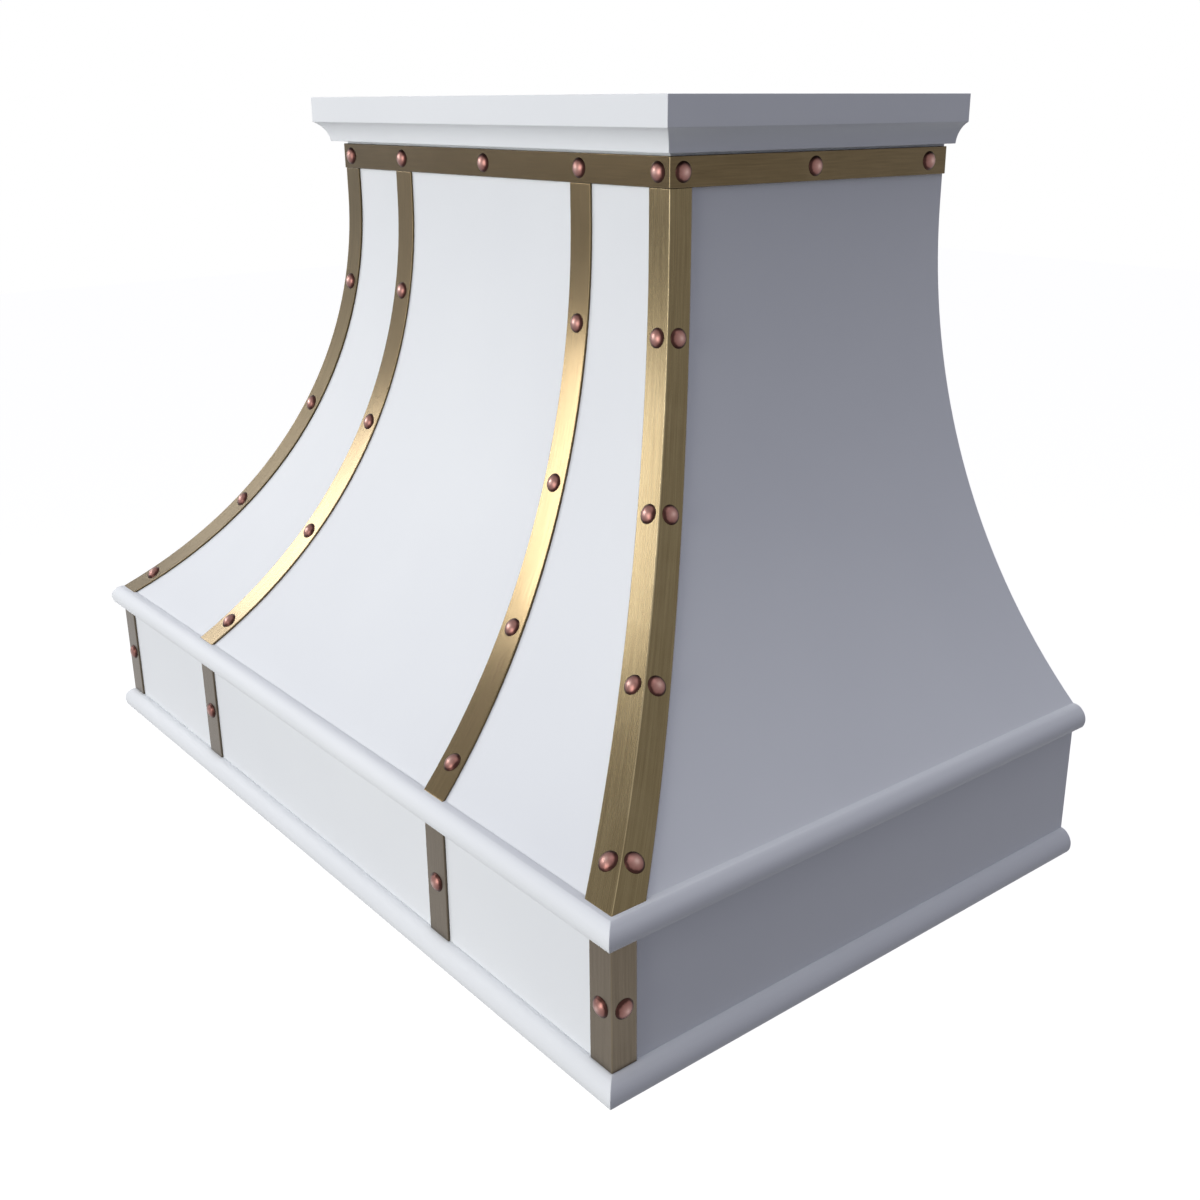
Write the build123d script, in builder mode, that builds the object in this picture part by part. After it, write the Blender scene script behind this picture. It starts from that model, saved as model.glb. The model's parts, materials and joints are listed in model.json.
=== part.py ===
from build123d import *
from collections import namedtuple
from math import acos, atan, cos, hypot, pi, sin, sqrt
import os

os.makedirs("parts", exist_ok=True)

# Frame: millimetres, X to the right seen from the cook's side, Y towards the wall, Z up.
# The origin is the middle of the lower edge of the face that lies on the wall.

# Outer shell
hood_height = 914.4
apron_width = 1196.0
apron_depth = 740.0
body_width = 674.0
body_depth = 445.0
flare_foot = 199.0
flare_drop = 128.4
sheet = 1.5
rim = 25.0
rear_rail_height = 60.0

# Crown and mouldings
fascia_height = 32.0
crown_height = 57.0
crown_reach = 34.0
crown_lip = 17.0
cove_sag = 4.0
upper_moulding_low = 174.5
upper_moulding_height = 27.5
lower_moulding_height = 29.5
moulding_reach = 16.2
moulding_foot = 13.3

# Brass band, straps and copper rivets
band_drop = 60.2
band_height = 32.2
band_wall = 4.0
strap_wall = 3.0
strap_width = 36.5
corner_front_leg = 33.5
corner_side_leg = 31.5
strap_offset = 188.6
strap_spread = 0.41
fold_radius = 0.8
rivet_radius = 11.1
rivet_height = 5.5
shank_radius = 2.5
shank_tail = 2.0
shank_clearance = 0.1
rivet_shares = (0.7516, 0.4677, 0.2290, 0.0379)
apron_rivet_level = 97.0
band_corner_inset = 19.0
band_rear_inset = 32.0

# Wall hanger
rail_length = 600.0
rail_wall = 3.0
rail_rise = 55.0
hook_rise = 5.0
hook_gap = 10.0
hook_drop = 15.0
bracket_drop = 70.0
bracket_hole_radius = 4.5
stud_spacing = 406.4
bracket_hole_rise = 26.0
bracket_hole_margin = 14.0
rail_screw_count = 4

# Top panel, duct and backdraft damper
top_panel_drop = 64.4
top_flange = 30.0
duct_hole_gap = 2.4
collar_radius = 101.1
collar_wall = 1.0
collar_tail = 35.0
collar_rise = 55.0
collar_flange = 24.0
collar_bead = 1.0
collar_bead_reach = 2.0
pipe_clearance = 0.2
pipe_wall = 0.8
pipe_engagement = 13.0
hinge_rod_radius = 2.0
hinge_drop = 12.0
hinge_clearance = 0.07
knuckle_wall = 1.1
knuckle_count = 4
knuckle_inset = 8.6
knuckle_gap = 0.4
flap_wall = 0.8
flap_clearance = 1.5
flap_edge_gap = 0.4
stop_length = 5.6
stop_width = 12.0
stop_height = 4.0
stop_gap = 0.3

# Blower
box_end_gap = 12.0
box_rear_gap = 12.0
box_room = 10.0
box_rise = 145.0
duct_sheet = 1.0
duct_lip = 14.0
fan_y = -317.0
fan_z = 375.0
fan_radius = 100.0
fan_half_width = 92.0
scroll_end_gap = 8.0
tongue_gap = 8.0
scroll_growth = 52.0
tongue_offset = 30.0
inlet_step = 10.0
inlet_lip = 6.0
blade_count = 36
blade_depth = 15.0
blade_lean = 0.14
blade_wall = 1.2
fan_ring_depth = 14.0
fan_ring_wall = 3.0
fan_plate = 2.0
hub_radius = 20.0
hub_length = 30.0
shaft_radius = 6.0
shaft_end_gap = 1.0
bearing_clearance = 0.06
motor_radius = 48.0
motor_wall = 2.0
motor_end_wall = 3.0
motor_gap = 10.0
motor_length = 90.0
rotor_radius = 30.0
rotor_length = 60.0
bracket_band = 20.0
bracket_wall = 2.5
arm_width = 14.0
adapter_height = 80.0
adapter_spigot = 30.0
adapter_flange = 12.0
adapter_bead = 2.0
neck_screw_x = 120.0

# Liner and filters
liner_sheet = 1.0
liner_gap = 2.0
liner_level = 3.0
skirt_inset = 36.0
skirt_rear = 34.0
deck_level = 44.0
filter_names = ("left", "centre", "right")
filter_width = 318.0
filter_depth = 396.0
filter_height = 22.0
filter_gap = 8.0
filter_front_inset = 149.0
filter_front_gap = 1.0
filter_lip = 12.0
filter_sheet = 1.0
pivot_radius = 3.0
pivot_length = 3.8
pivot_clearance = 0.08
pivot_inset = 8.0
tab_wall = 4.0
tab_height = 29.0
tab_foot = 16.0
tab_margin = 10.0
upstand = 12.0
baffle_width = 30.0
baffle_height = 13.0
baffle_sheet = 0.8
baffle_count = 8
baffle_side_gap = 4.75
baffle_end_gap = 0.3
handle_span = 90.0
handle_drop = 24.0
handle_wire = 2.5
handle_bend = 8.0
handle_inset = 6.0
plenum_margin = 12.0
plenum_collar = 40.0

# Grease trough and cup
trough_gap = 0.5
trough_depth = 26.5
trough_height = 12.0
drain_radius = 4.0
cup_length = 200.0
cup_depth = 60.0
cup_height = 23.2
cup_front_gap = 9.0
cup_wall = 1.2
cup_rim = 4.0
cup_drop = 2.8
cup_clearance = 0.5
cup_lift = 0.3
pull_length = 6.0
pull_width = 24.0
rail_overhang = 2.0
rail_foot = 9.5
rail_front_foot = 5.7

# Lamps and controls
lamp_radius = 30.0
lamp_flange = 5.0
lamp_flange_wall = 2.0
lamp_height = 24.0
lamp_roof = 4.0
lamp_hole_gap = 0.5
lamp_wall = 3.0
lens_wall = 3.0
lens_inset = 1.0
lens_clearance = 0.1
lens_ledge = 2.0
lamp_insets = ((218.0, 85.0), (168.0, 650.0))
panel_width = 250.0
panel_depth = 44.0
panel_wall = 3.0
panel_inset = 85.0
button_radius = 7.92
button_clearance = 0.08
button_proud = 2.5
button_shoulder = 1.6
button_pitch = 50.0
button_travel = 2.0
button_stem = 2.5
stem_clearance = 0.1
stem_length = 6.0
button_names = ("light", "low", "medium", "high")
switch_width = 216.0
switch_depth = 24.0
switch_height = 28.0
switch_wall = 8.0
switch_hole_gap = 2.0

# Supply cable entry
cable_inset = 82.0
cable_y = -80.0
cable_bore = 8.0
grommet_wall = 2.9
grommet_flange = 3.1
grommet_lip = 2.5
grommet_gap = 0.1
junction_width = 100.0
junction_depth = 70.0
junction_height = 45.0
junction_wall = 1.2
junction_lug = 12.0

# Screws
screw_radius = 2.0
screw_head = 4.0
screw_head_height = 2.0
screw_tail = 3.0
rim_screw_end = 100.0
rim_screw_corner = 198.0

# Levels and places that follow from the sizes above
half_body = body_width / 2
half_apron = apron_width / 2
flare_top = hood_height - flare_drop
crown_low = hood_height - crown_height
moulding_top = upper_moulding_low + upper_moulding_height
strap_low = moulding_top
band_high = hood_height - band_drop
band_low = band_high - band_height
band_middle = (band_low + band_high) / 2
rivet_levels = [strap_low + share * (band_low - strap_low) for share in rivet_shares]
top_panel_level = hood_height - top_panel_drop
top_rear_gap = hook_gap + 2 * rail_wall
rail_top = top_panel_level + rail_rise
hook_level = top_panel_level + hook_rise
bracket_low = top_panel_level - bracket_drop
bracket_hole_low = bracket_low + bracket_hole_margin
collar_low = top_panel_level - collar_tail
collar_high = top_panel_level + collar_rise
pipe_high = collar_low + pipe_engagement
hinge_level = top_panel_level - hinge_drop
tongue_radius = fan_radius + tongue_gap
scroll_radius = tongue_radius + scroll_growth
scroll_half_width = fan_half_width + scroll_end_gap
inlet_radius = fan_radius - inlet_step
motor_near = -(scroll_half_width + motor_gap)
motor_far = motor_near - motor_length
box_half = motor_end_wall + box_end_gap - motor_far
box_rear = fan_y + scroll_radius + box_rear_gap
box_front = box_rear - 2 * scroll_radius - box_room
box_low = fan_z - scroll_radius
box_high = fan_z + box_rise
adapter_high = box_high + adapter_height
outlet_front = fan_y + tongue_offset
outlet_rear = fan_y + scroll_radius
duct_centre = (outlet_front + outlet_rear) / 2
filter_front = filter_front_inset - apron_depth
lens_radius = lamp_radius - lamp_wall - lens_clearance
lamp_places = [(half_apron - side_inset, front_inset - apron_depth) for side_inset, front_inset in lamp_insets]
panel_y = panel_inset - apron_depth
cable_x = half_body - cable_inset

Wall = namedtuple("Wall", "top radius")
COVE_SHIFT = 0.4
CENTRED_FRONT = (Align.CENTER, Align.MAX)
CENTRED_LOW = (Align.CENTER, Align.CENTER, Align.MIN)
FORWARD = Plane(origin=(0, 0, 0), x_dir=(0, -1, 0), z_dir=(-1, 0, 0))


def flare_radius(foot, top):
    """Radius of the arc that leaves a vertical wall at flare_top and reaches foot at flare_foot."""
    run = foot - top
    rise = flare_top - flare_foot
    return (run**2 + rise**2) / (2 * run)


side_wall = Wall(half_body, flare_radius(half_apron, half_body))
front_wall = Wall(body_depth, flare_radius(apron_depth, body_depth))


def drop(z):
    return max(0.0, flare_top - z)


def reach(wall, z, out=0.0):
    """Distance of a flared wall from its datum at height z, moved out along its normal."""
    if z >= flare_top:
        return wall.top + out
    return wall.top + wall.radius - sqrt((wall.radius - out) ** 2 - drop(z) ** 2)


def slope(wall, z):
    """How far a flared wall moves out for each millimetre down."""
    return drop(z) / sqrt(wall.radius**2 - drop(z) ** 2)


def flare_points(wall, low, out):
    """Foot, middle and shoulder of a flared wall's arc."""
    return [(reach(wall, z, out), z) for z in (low, (low + flare_top) / 2, flare_top)]


def wall_strip(wall, low, high, inner, outer):
    """Section of a flared wall between two offsets, u outwards and z upwards."""
    with BuildSketch() as strip:
        with BuildLine():
            for out in (inner, outer):
                arc = ThreePointArc(*flare_points(wall, low, out))
                Line(arc @ 1, (wall.top + out, high))
            Line((reach(wall, low, inner), low), (reach(wall, low, outer), low))
            Line((wall.top + inner, high), (wall.top + outer, high))
        make_face()
    return strip.sketch


def wall_outline(wall, low, high, out=0.0, datum=0.0):
    """Everything between the datum and a flared wall, u outwards and z upwards."""
    with BuildSketch() as outline:
        with BuildLine():
            arc = ThreePointArc(*flare_points(wall, low, out))
            Polyline(arc @ 1, (wall.top + out, high), (datum, high), (datum, low), arc @ 0)
        make_face()
    return outline.sketch


def edge_between(wall, low, high, left_at, right_at):
    """Face between two edges given as functions of height, straight above flare_top."""
    steps = 8
    levels = [low + (flare_top - low) * i / steps for i in range(steps + 1)]
    with BuildSketch() as face:
        with BuildLine():
            for edge_at in (left_at, right_at):
                curve = Spline(*[(edge_at(z), z) for z in levels])
                Line(curve @ 1, (edge_at(high), high))
            Line((left_at(low), low), (right_at(low), low))
            Line((left_at(high), high), (right_at(high), high))
        make_face()
    return face.sketch


def true_width(width, wall, cross, z):
    """Level width of a strip that keeps its width square to an edge lying along two flares."""
    return width / cos(atan(slope(wall, z) / hypot(1, slope(cross, z))))


def u_path(half, depth):
    """Path round three sides, from the wall on the right to the wall on the left."""
    return [(half, 0, 0), (half, -depth, 0), (-half, -depth, 0), (-half, 0, 0)]


def wrapped_tube(profile, bore, half, depth):
    """Mitred hollow section carried round the three free sides of a rectangle."""
    start = Plane(origin=(half, 0, 0), x_dir=(1, 0, 0), z_dir=(0, -1, 0))
    with BuildPart() as tube:
        with BuildLine() as path:
            Polyline(*u_path(half, depth))
        with BuildSketch(start):
            add(profile)
        sweep(path=path.wire(), transition=Transition.RIGHT)
        with BuildSketch(start):
            add(bore)
        sweep(path=path.wire(), transition=Transition.RIGHT, mode=Mode.SUBTRACT)
    return tube.part


def cuboid(x_span, y_span, z_span, mode=Mode.ADD):
    """Box between two corners, joined to or cut from the part being built."""
    spans = (x_span, y_span, z_span)
    with Locations(tuple((low + high) / 2 for low, high in spans)):
        Box(*[high - low for low, high in spans], mode=mode)


def drum(radius, low, high, centre=(0.0, 0.0), mode=Mode.ADD):
    """Upright cylinder between two levels, joined to or cut from the part being built."""
    with Locations((*centre, low)):
        Cylinder(radius, high - low, align=CENTRED_LOW, mode=mode)


def rod(radius, start, end, mode=Mode.ADD):
    """Cylinder from one point to another, joined to or cut from the part being built."""
    axis = Vector(*end) - Vector(*start)
    with Locations(Location(Plane(origin=start, z_dir=axis))):
        Cylinder(radius, axis.length, align=CENTRED_LOW, mode=mode)


def both_ways(half):
    """Span as wide on the left of the middle as on the right."""
    return (-half, half)


def write(name, solid):
    solid.label = name
    export_step(solid, f"parts/{name}.step")


# Rivet places: a plane on the outer face of what each rivet holds, its normal pointing out


def seat(wall, z, metal):
    """Height above the wall at which a flat rivet head rests on the metal's hollow face."""
    if z >= flare_top:
        return metal
    return metal + rivet_radius**2 / (2 * (wall.radius - metal))


def front_spot(x, z, metal=strap_wall):
    tilt = atan(slope(front_wall, z))
    normal = Vector(0, -cos(tilt), sin(tilt))
    base = Vector(x, -reach(front_wall, z), z)
    return Plane(origin=base + normal * seat(front_wall, z, metal), x_dir=(1, 0, 0), z_dir=normal)


def side_spot(side, y, z, metal=strap_wall):
    tilt = atan(slope(side_wall, z))
    normal = Vector(side * cos(tilt), 0, sin(tilt))
    base = Vector(side * reach(side_wall, z), y, z)
    return Plane(origin=base + normal * seat(side_wall, z, metal), x_dir=(0, 1, 0), z_dir=normal)


def apron_spot(x, side=0):
    if side:
        y = -apron_depth - strap_wall + corner_side_leg / 2
        return Plane((side * (half_apron + strap_wall), y, apron_rivet_level), (0, 1, 0), (side, 0, 0))
    return Plane((x, -apron_depth - strap_wall, apron_rivet_level), (1, 0, 0), (0, -1, 0))


def strap_line(z):
    """Distance of a front strap's centre line from the middle of the hood."""
    return strap_offset + strap_spread * (reach(side_wall, z) - half_body)


def front_leg_edge(z):
    return reach(side_wall, z, strap_wall) - true_width(corner_front_leg, side_wall, front_wall, z)


def side_leg_edge(z):
    return reach(front_wall, z, strap_wall) - true_width(corner_side_leg, front_wall, side_wall, z)


strap_spots = []
band_spots = []
apron_spots = []
for side in (-1, 1):
    for level in rivet_levels:
        front_middle = (front_leg_edge(level) + reach(side_wall, level, strap_wall)) / 2
        side_middle = (side_leg_edge(level) + reach(front_wall, level, strap_wall)) / 2
        strap_spots.append(front_spot(side * front_middle, level))
        strap_spots.append(side_spot(side, -side_middle, level))
        strap_spots.append(front_spot(side * strap_line(level), level))
    band_corner = half_body + band_wall - band_corner_inset
    side_corner = body_depth + band_wall - band_corner_inset
    band_spots.append(front_spot(side * band_corner, band_middle, band_wall))
    band_spots.append(front_spot(side * strap_offset, band_middle, band_wall))
    for y in (-side_corner, -(side_corner + band_rear_inset) / 2, -band_rear_inset):
        band_spots.append(side_spot(side, y, band_middle, band_wall))
    corner_x = half_apron + strap_wall - corner_front_leg / 2
    apron_spots.append(apron_spot(side * corner_x))
    apron_spots.append(apron_spot(side * strap_line(flare_foot)))
    apron_spots.append(apron_spot(0, side))
band_spots.append(front_spot(0, band_middle, band_wall))
rivet_spots = [Location(spot) for spot in strap_spots + band_spots + apron_spots]


def drill_rivets():
    """Cut every rivet's hole out of the part being built."""
    with Locations(*rivet_spots):
        Cylinder(shank_radius + shank_clearance, 4 * (band_wall + sheet), mode=Mode.SUBTRACT)


# Screw places: a plane under each screw's head, its normal pointing away from what it holds

rim_half = half_apron - sheet - liner_gap
rim_front = -(apron_depth - sheet - liner_gap)
rim_rear = -(sheet + liner_gap)
return_level = liner_level + liner_sheet
return_edge = half_apron - rim
tray_top = top_panel_level + sheet
collar_flange_top = tray_top + sheet
cover_low = top_panel_level - junction_height - junction_wall
rim_screw_x = (rim_half + return_edge) / 2
rim_screw_front = (rim_front - (apron_depth - rim)) / 2
rim_screw_rear = (rim_rear - rim) / 2
flange_screw_radius = collar_radius + collar_flange / 2


def screw_planes(points, normal):
    return [Plane(origin=point, z_dir=normal) for point in points]


rim_rows = (-rim_screw_end, -apron_depth / 2, rim_screw_end - apron_depth)
rim_columns = (rim_screw_corner - half_apron, 0, half_apron - rim_screw_corner)
rim_points = [(side * rim_screw_x, y, liner_level) for side in (-1, 1) for y in rim_rows]
rim_points += [(x, y, liner_level) for x in rim_columns for y in (rim_screw_front, rim_screw_rear)]
rail_y = -top_rear_gap - sheet
rail_points = [
    (((i + 0.5) / rail_screw_count - 0.5) * rail_length, rail_y, (hook_level + rail_top) / 2)
    for i in range(rail_screw_count)
]
cover_points = [
    (cable_x + side * (junction_width - junction_lug) / 2, cable_y, cover_low) for side in (-1, 1)
]
neck_points = [
    (x, y, box_low - duct_sheet)
    for x in (-neck_screw_x, neck_screw_x)
    for y in (box_front + duct_sheet + duct_lip / 2, box_rear - duct_sheet - duct_lip / 2)
]
flange_points = [
    (a * flange_screw_radius * sqrt(0.5), duct_centre + b * flange_screw_radius * sqrt(0.5), collar_flange_top)
    for a in (-1, 1)
    for b in (-1, 1)
]
DOWN = (0, 0, -1)
rim_screws = screw_planes(rim_points, DOWN)
rail_screws = screw_planes(rail_points, (0, -1, 0))
cover_screws = screw_planes(cover_points, DOWN)
neck_screws = screw_planes(neck_points, DOWN)
flange_screws = screw_planes(flange_points, (0, 0, 1))


def drill_screws(spots):
    """Cut clearance holes for screws out of the part being built."""
    with Locations(*[Location(spot) for spot in spots]):
        Cylinder(screw_radius + shank_clearance, 8 * screw_tail, mode=Mode.SUBTRACT)


# Canopy: three flared panels of painted sheet, the side ones with a return along the wall
with BuildPart() as canopy_front:
    with BuildSketch(FORWARD):
        add(wall_strip(front_wall, flare_foot, hood_height, -sheet, 0))
    extrude(amount=apron_width, both=True)
    with BuildSketch(Plane.XZ):
        half_outline = wall_outline(side_wall, flare_foot, hood_height)
        add(half_outline)
        add(mirror(half_outline, about=Plane.YZ, mode=Mode.PRIVATE))
    extrude(amount=2 * apron_depth, mode=Mode.INTERSECT)
    drill_rivets()
write("canopy_front", canopy_front.part)

with BuildPart() as canopy_right:
    with BuildSketch(Plane.XZ):
        add(wall_strip(side_wall, flare_foot, hood_height, -sheet, 0))
    extrude(amount=2 * apron_depth)
    with BuildSketch(FORWARD):
        add(wall_outline(front_wall, flare_foot, hood_height, -sheet))
    extrude(amount=apron_width, both=True, mode=Mode.INTERSECT)
    with BuildSketch(Plane.XZ):
        add(wall_strip(side_wall, flare_foot, hood_height, -rim, 0))
    extrude(amount=sheet)
    drill_rivets()
write("canopy_right", canopy_right.part)
write("canopy_left", mirror(canopy_right.part, about=Plane.YZ))

# Apron: one folded sheet with a return round its lower edge and along the wall
with BuildPart() as apron:
    with BuildSketch():
        Rectangle(apron_width, apron_depth, align=CENTRED_FRONT)
        Rectangle(apron_width - 2 * sheet, apron_depth - sheet, align=CENTRED_FRONT, mode=Mode.SUBTRACT)
    extrude(amount=flare_foot)
    with BuildSketch(Plane.XY.offset(return_level)):
        Rectangle(apron_width, apron_depth, align=CENTRED_FRONT)
        Rectangle(apron_width - 2 * rim, apron_depth - rim, align=CENTRED_FRONT, mode=Mode.SUBTRACT)
    extrude(amount=sheet)
    with BuildSketch(Plane.XZ):
        with Locations((-half_apron, 0), (half_apron - rim, 0)):
            Rectangle(rim, flare_foot, align=(Align.MIN, Align.MIN))
    extrude(amount=sheet)
    drill_rivets()
    drill_screws(rim_screws)
write("apron", apron.part)

# Rear rail: closes the lower edge along the wall
with BuildPart() as rear_rail:
    cuboid(both_ways(return_edge), (-sheet, 0), (0, rear_rail_height))
    cuboid(both_ways(return_edge), (-rim, 0), (return_level, return_level + sheet))
    drill_screws(rim_screws)
write("rear_rail", rear_rail.part)


def crown_profile(inset):
    """Flat fascia over a hollow curve, open at the back, measured out from the body."""
    lip = crown_lip - inset
    edge = crown_reach - inset
    low = crown_low + inset
    fascia = hood_height - fascia_height + inset * COVE_SHIFT
    bend = ((lip + edge) / 2 - cove_sag * 0.8, (low + fascia) / 2 + cove_sag * 0.6)
    with BuildSketch() as profile:
        with BuildLine():
            Line((0, low), (lip, low))
            ThreePointArc((lip, low), bend, (edge, fascia))
            Polyline((edge, fascia), (edge, hood_height - inset), (0, hood_height - inset), (0, low))
        make_face()
    return profile.sketch


crown = wrapped_tube(crown_profile(0), crown_profile(sheet), half_body, body_depth)
write("crown", crown)


def moulding_profile(low, height, inset, tuck=0.0):
    """Rounded nosing with a sharp lower edge; tuck carries its top in to a leaning wall."""
    foot = moulding_foot - inset
    nose = moulding_reach - inset
    base = low + inset
    top = low + height - inset
    brow = (0.65 * nose, base + 0.83 * (top - base))
    crest = (0.36 * nose, base + 0.955 * (top - base))
    with BuildSketch() as profile:
        with BuildLine():
            Polyline((inset, base), (foot, base))
            ThreePointArc((foot, base), (nose, base + 0.45 * (top - base)), brow)
            ThreePointArc(brow, crest, (inset, top))
            if tuck:
                Polyline((inset, top), (-tuck, top), (0, flare_foot), (inset, base))
            else:
                Line((inset, top), (inset, base))
        make_face()
    return profile.sketch


tuck = min(half_apron - reach(side_wall, moulding_top), apron_depth - reach(front_wall, moulding_top))
upper_moulding = wrapped_tube(
    moulding_profile(upper_moulding_low, upper_moulding_height, 0, tuck),
    moulding_profile(upper_moulding_low, upper_moulding_height, sheet),
    half_apron,
    apron_depth,
)
write("upper_moulding", upper_moulding)
lower_moulding = wrapped_tube(
    moulding_profile(0, lower_moulding_height, 0),
    moulding_profile(0, lower_moulding_height, sheet),
    half_apron,
    apron_depth,
)
write("lower_moulding", lower_moulding)

# Brass band folded round the top of the body, over the ends of the straps
with BuildPart() as brass_band:
    with BuildSketch(Plane.XY.offset(band_low)):
        Rectangle(body_width + 2 * band_wall, body_depth + band_wall, align=CENTRED_FRONT)
        Rectangle(body_width, body_depth, align=CENTRED_FRONT, mode=Mode.SUBTRACT)
    extrude(amount=band_high - band_low)
    upright = brass_band.edges().filter_by(Axis.Z).filter_by_position(Axis.Y, -body_depth - 5, -body_depth - 3)
    fillet(upright, fold_radius)
    drill_rivets()
write("brass_band", brass_band.part)

# Corner strap: a leg on the front and a leg on the side, joined along the corner's curve
with BuildPart() as front_leg:
    with BuildSketch(FORWARD):
        add(wall_strip(front_wall, strap_low, band_low, 0, strap_wall))
    extrude(amount=apron_width, both=True)
    with BuildSketch(Plane.XZ):
        add(edge_between(side_wall, strap_low, band_low, front_leg_edge, lambda z: apron_width))
        add(wall_outline(side_wall, strap_low, band_low, strap_wall), mode=Mode.INTERSECT)
    extrude(amount=2 * apron_depth, mode=Mode.INTERSECT)

with BuildPart() as side_leg:
    with BuildSketch(Plane.XZ):
        add(wall_strip(side_wall, strap_low, band_low, 0, strap_wall))
    extrude(amount=2 * apron_depth)
    with BuildSketch(FORWARD):
        add(edge_between(front_wall, strap_low, band_low, side_leg_edge, lambda z: 2 * apron_depth))
        add(wall_outline(front_wall, strap_low, band_low), mode=Mode.INTERSECT)
    extrude(amount=apron_width, both=True, mode=Mode.INTERSECT)

with BuildPart() as corner_strap_right:
    add(front_leg.part)
    add(side_leg.part)
    drill_rivets()
write("corner_strap_right", corner_strap_right.part)
write("corner_strap_left", mirror(corner_strap_right.part, about=Plane.YZ))


def strap_edge(side):
    """One edge of a front strap as a function of height."""

    def edge_at(z):
        lean = strap_spread * slope(side_wall, z) / hypot(1, slope(front_wall, z))
        return strap_line(z) + side * strap_width / 2 / cos(atan(lean))

    return edge_at


with BuildPart() as front_strap_right:
    with BuildSketch(FORWARD):
        add(wall_strip(front_wall, strap_low, band_low, 0, strap_wall))
    extrude(amount=apron_width, both=True)
    with BuildSketch(Plane.XZ):
        add(edge_between(side_wall, strap_low, band_low, strap_edge(-1), strap_edge(1)))
    extrude(amount=2 * apron_depth, mode=Mode.INTERSECT)
    drill_rivets()
write("front_strap_right", front_strap_right.part)
write("front_strap_left", mirror(front_strap_right.part, about=Plane.YZ))

# Apron pieces of the same brass: an L at each corner and a flat bar under each front strap
with BuildPart() as apron_corner_right:
    with BuildSketch(Plane.XY.offset(lower_moulding_height)):
        with Locations((half_apron + strap_wall, -apron_depth - strap_wall)):
            Rectangle(corner_front_leg, corner_side_leg, align=(Align.MAX, Align.MIN))
        Rectangle(apron_width, apron_depth, align=CENTRED_FRONT, mode=Mode.SUBTRACT)
    extrude(amount=upper_moulding_low - lower_moulding_height)
    outer_corner = apron_corner_right.edges().filter_by(Axis.Z).sort_by(SortBy.DISTANCE, reverse=True)[0]
    fillet(outer_corner, fold_radius)
    drill_rivets()
write("apron_corner_strap_right", apron_corner_right.part)
write("apron_corner_strap_left", mirror(apron_corner_right.part, about=Plane.YZ))

with BuildPart() as apron_straps:
    with BuildSketch(Plane.XY.offset(lower_moulding_height)):
        with Locations((-strap_line(flare_foot), -apron_depth), (strap_line(flare_foot), -apron_depth)):
            Rectangle(strap_width, strap_wall, align=CENTRED_FRONT)
    extrude(amount=upper_moulding_low - lower_moulding_height)
    drill_rivets()
write("apron_straps", apron_straps.part)


def rivet_solid(grip):
    """Domed rivet, its head on the outer face and its shank through the metal behind."""
    rise = rivet_height
    sphere = (rivet_radius**2 + rise**2) / (2 * rise)
    shoulder = rivet_radius / 2
    haunch = sqrt(sphere**2 - shoulder**2) - (sphere - rise)
    with BuildPart() as rivet:
        with BuildSketch(Plane.XZ):
            with BuildLine():
                end = -grip - shank_tail
                Polyline((0, rise), (0, end), (shank_radius, end), (shank_radius, 0), (rivet_radius, 0))
                ThreePointArc((rivet_radius, 0), (shoulder, haunch), (0, rise))
            make_face()
        revolve(axis=Axis.Z)
    return rivet.part


strap_rivet = rivet_solid(strap_wall + sheet)
band_rivet = rivet_solid(band_wall + sheet)
rivets = [Location(spot) * strap_rivet for spot in strap_spots + apron_spots]
rivets += [Location(spot) * band_rivet for spot in band_spots]
write("rivets", Compound(children=rivets))


# Hanging rail inside the hood, hooked over the bracket that is bolted to the wall
hook_rear = -(rail_wall + hook_gap)
hook_lip = -rail_wall - (hook_gap - 2 * rail_wall) / 2
bracket_shelf = hook_level - hook_drop - rail_wall - rail_wall
with BuildPart() as hanging_rail:
    cuboid(both_ways(rail_length / 2), (-top_rear_gap, -top_rear_gap + rail_wall), (hook_level, rail_top))
    cuboid(both_ways(rail_length / 2), (-top_rear_gap, hook_lip), (hook_level, hook_level + rail_wall))
    cuboid(both_ways(rail_length / 2), (hook_lip - rail_wall, hook_lip), (hook_level - hook_drop, hook_level))
    drill_screws(rail_screws)
write("hanging_rail", hanging_rail.part)

with BuildPart() as wall_bracket:
    cuboid(both_ways(rail_length / 2), (-rail_wall, 0), (bracket_low, bracket_shelf + rail_wall))
    cuboid(both_ways(rail_length / 2), (hook_rear, 0), (bracket_shelf, bracket_shelf + rail_wall))
    cuboid(both_ways(rail_length / 2), (hook_rear, hook_rear + rail_wall), (bracket_shelf, hook_level))
    for x in both_ways(stud_spacing / 2):
        for z in (bracket_hole_low, bracket_hole_low + bracket_hole_rise):
            rod(bracket_hole_radius, (x, -2 * rail_wall, z), (x, rail_wall, z), mode=Mode.SUBTRACT)
write("wall_bracket", wall_bracket.part)

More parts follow.
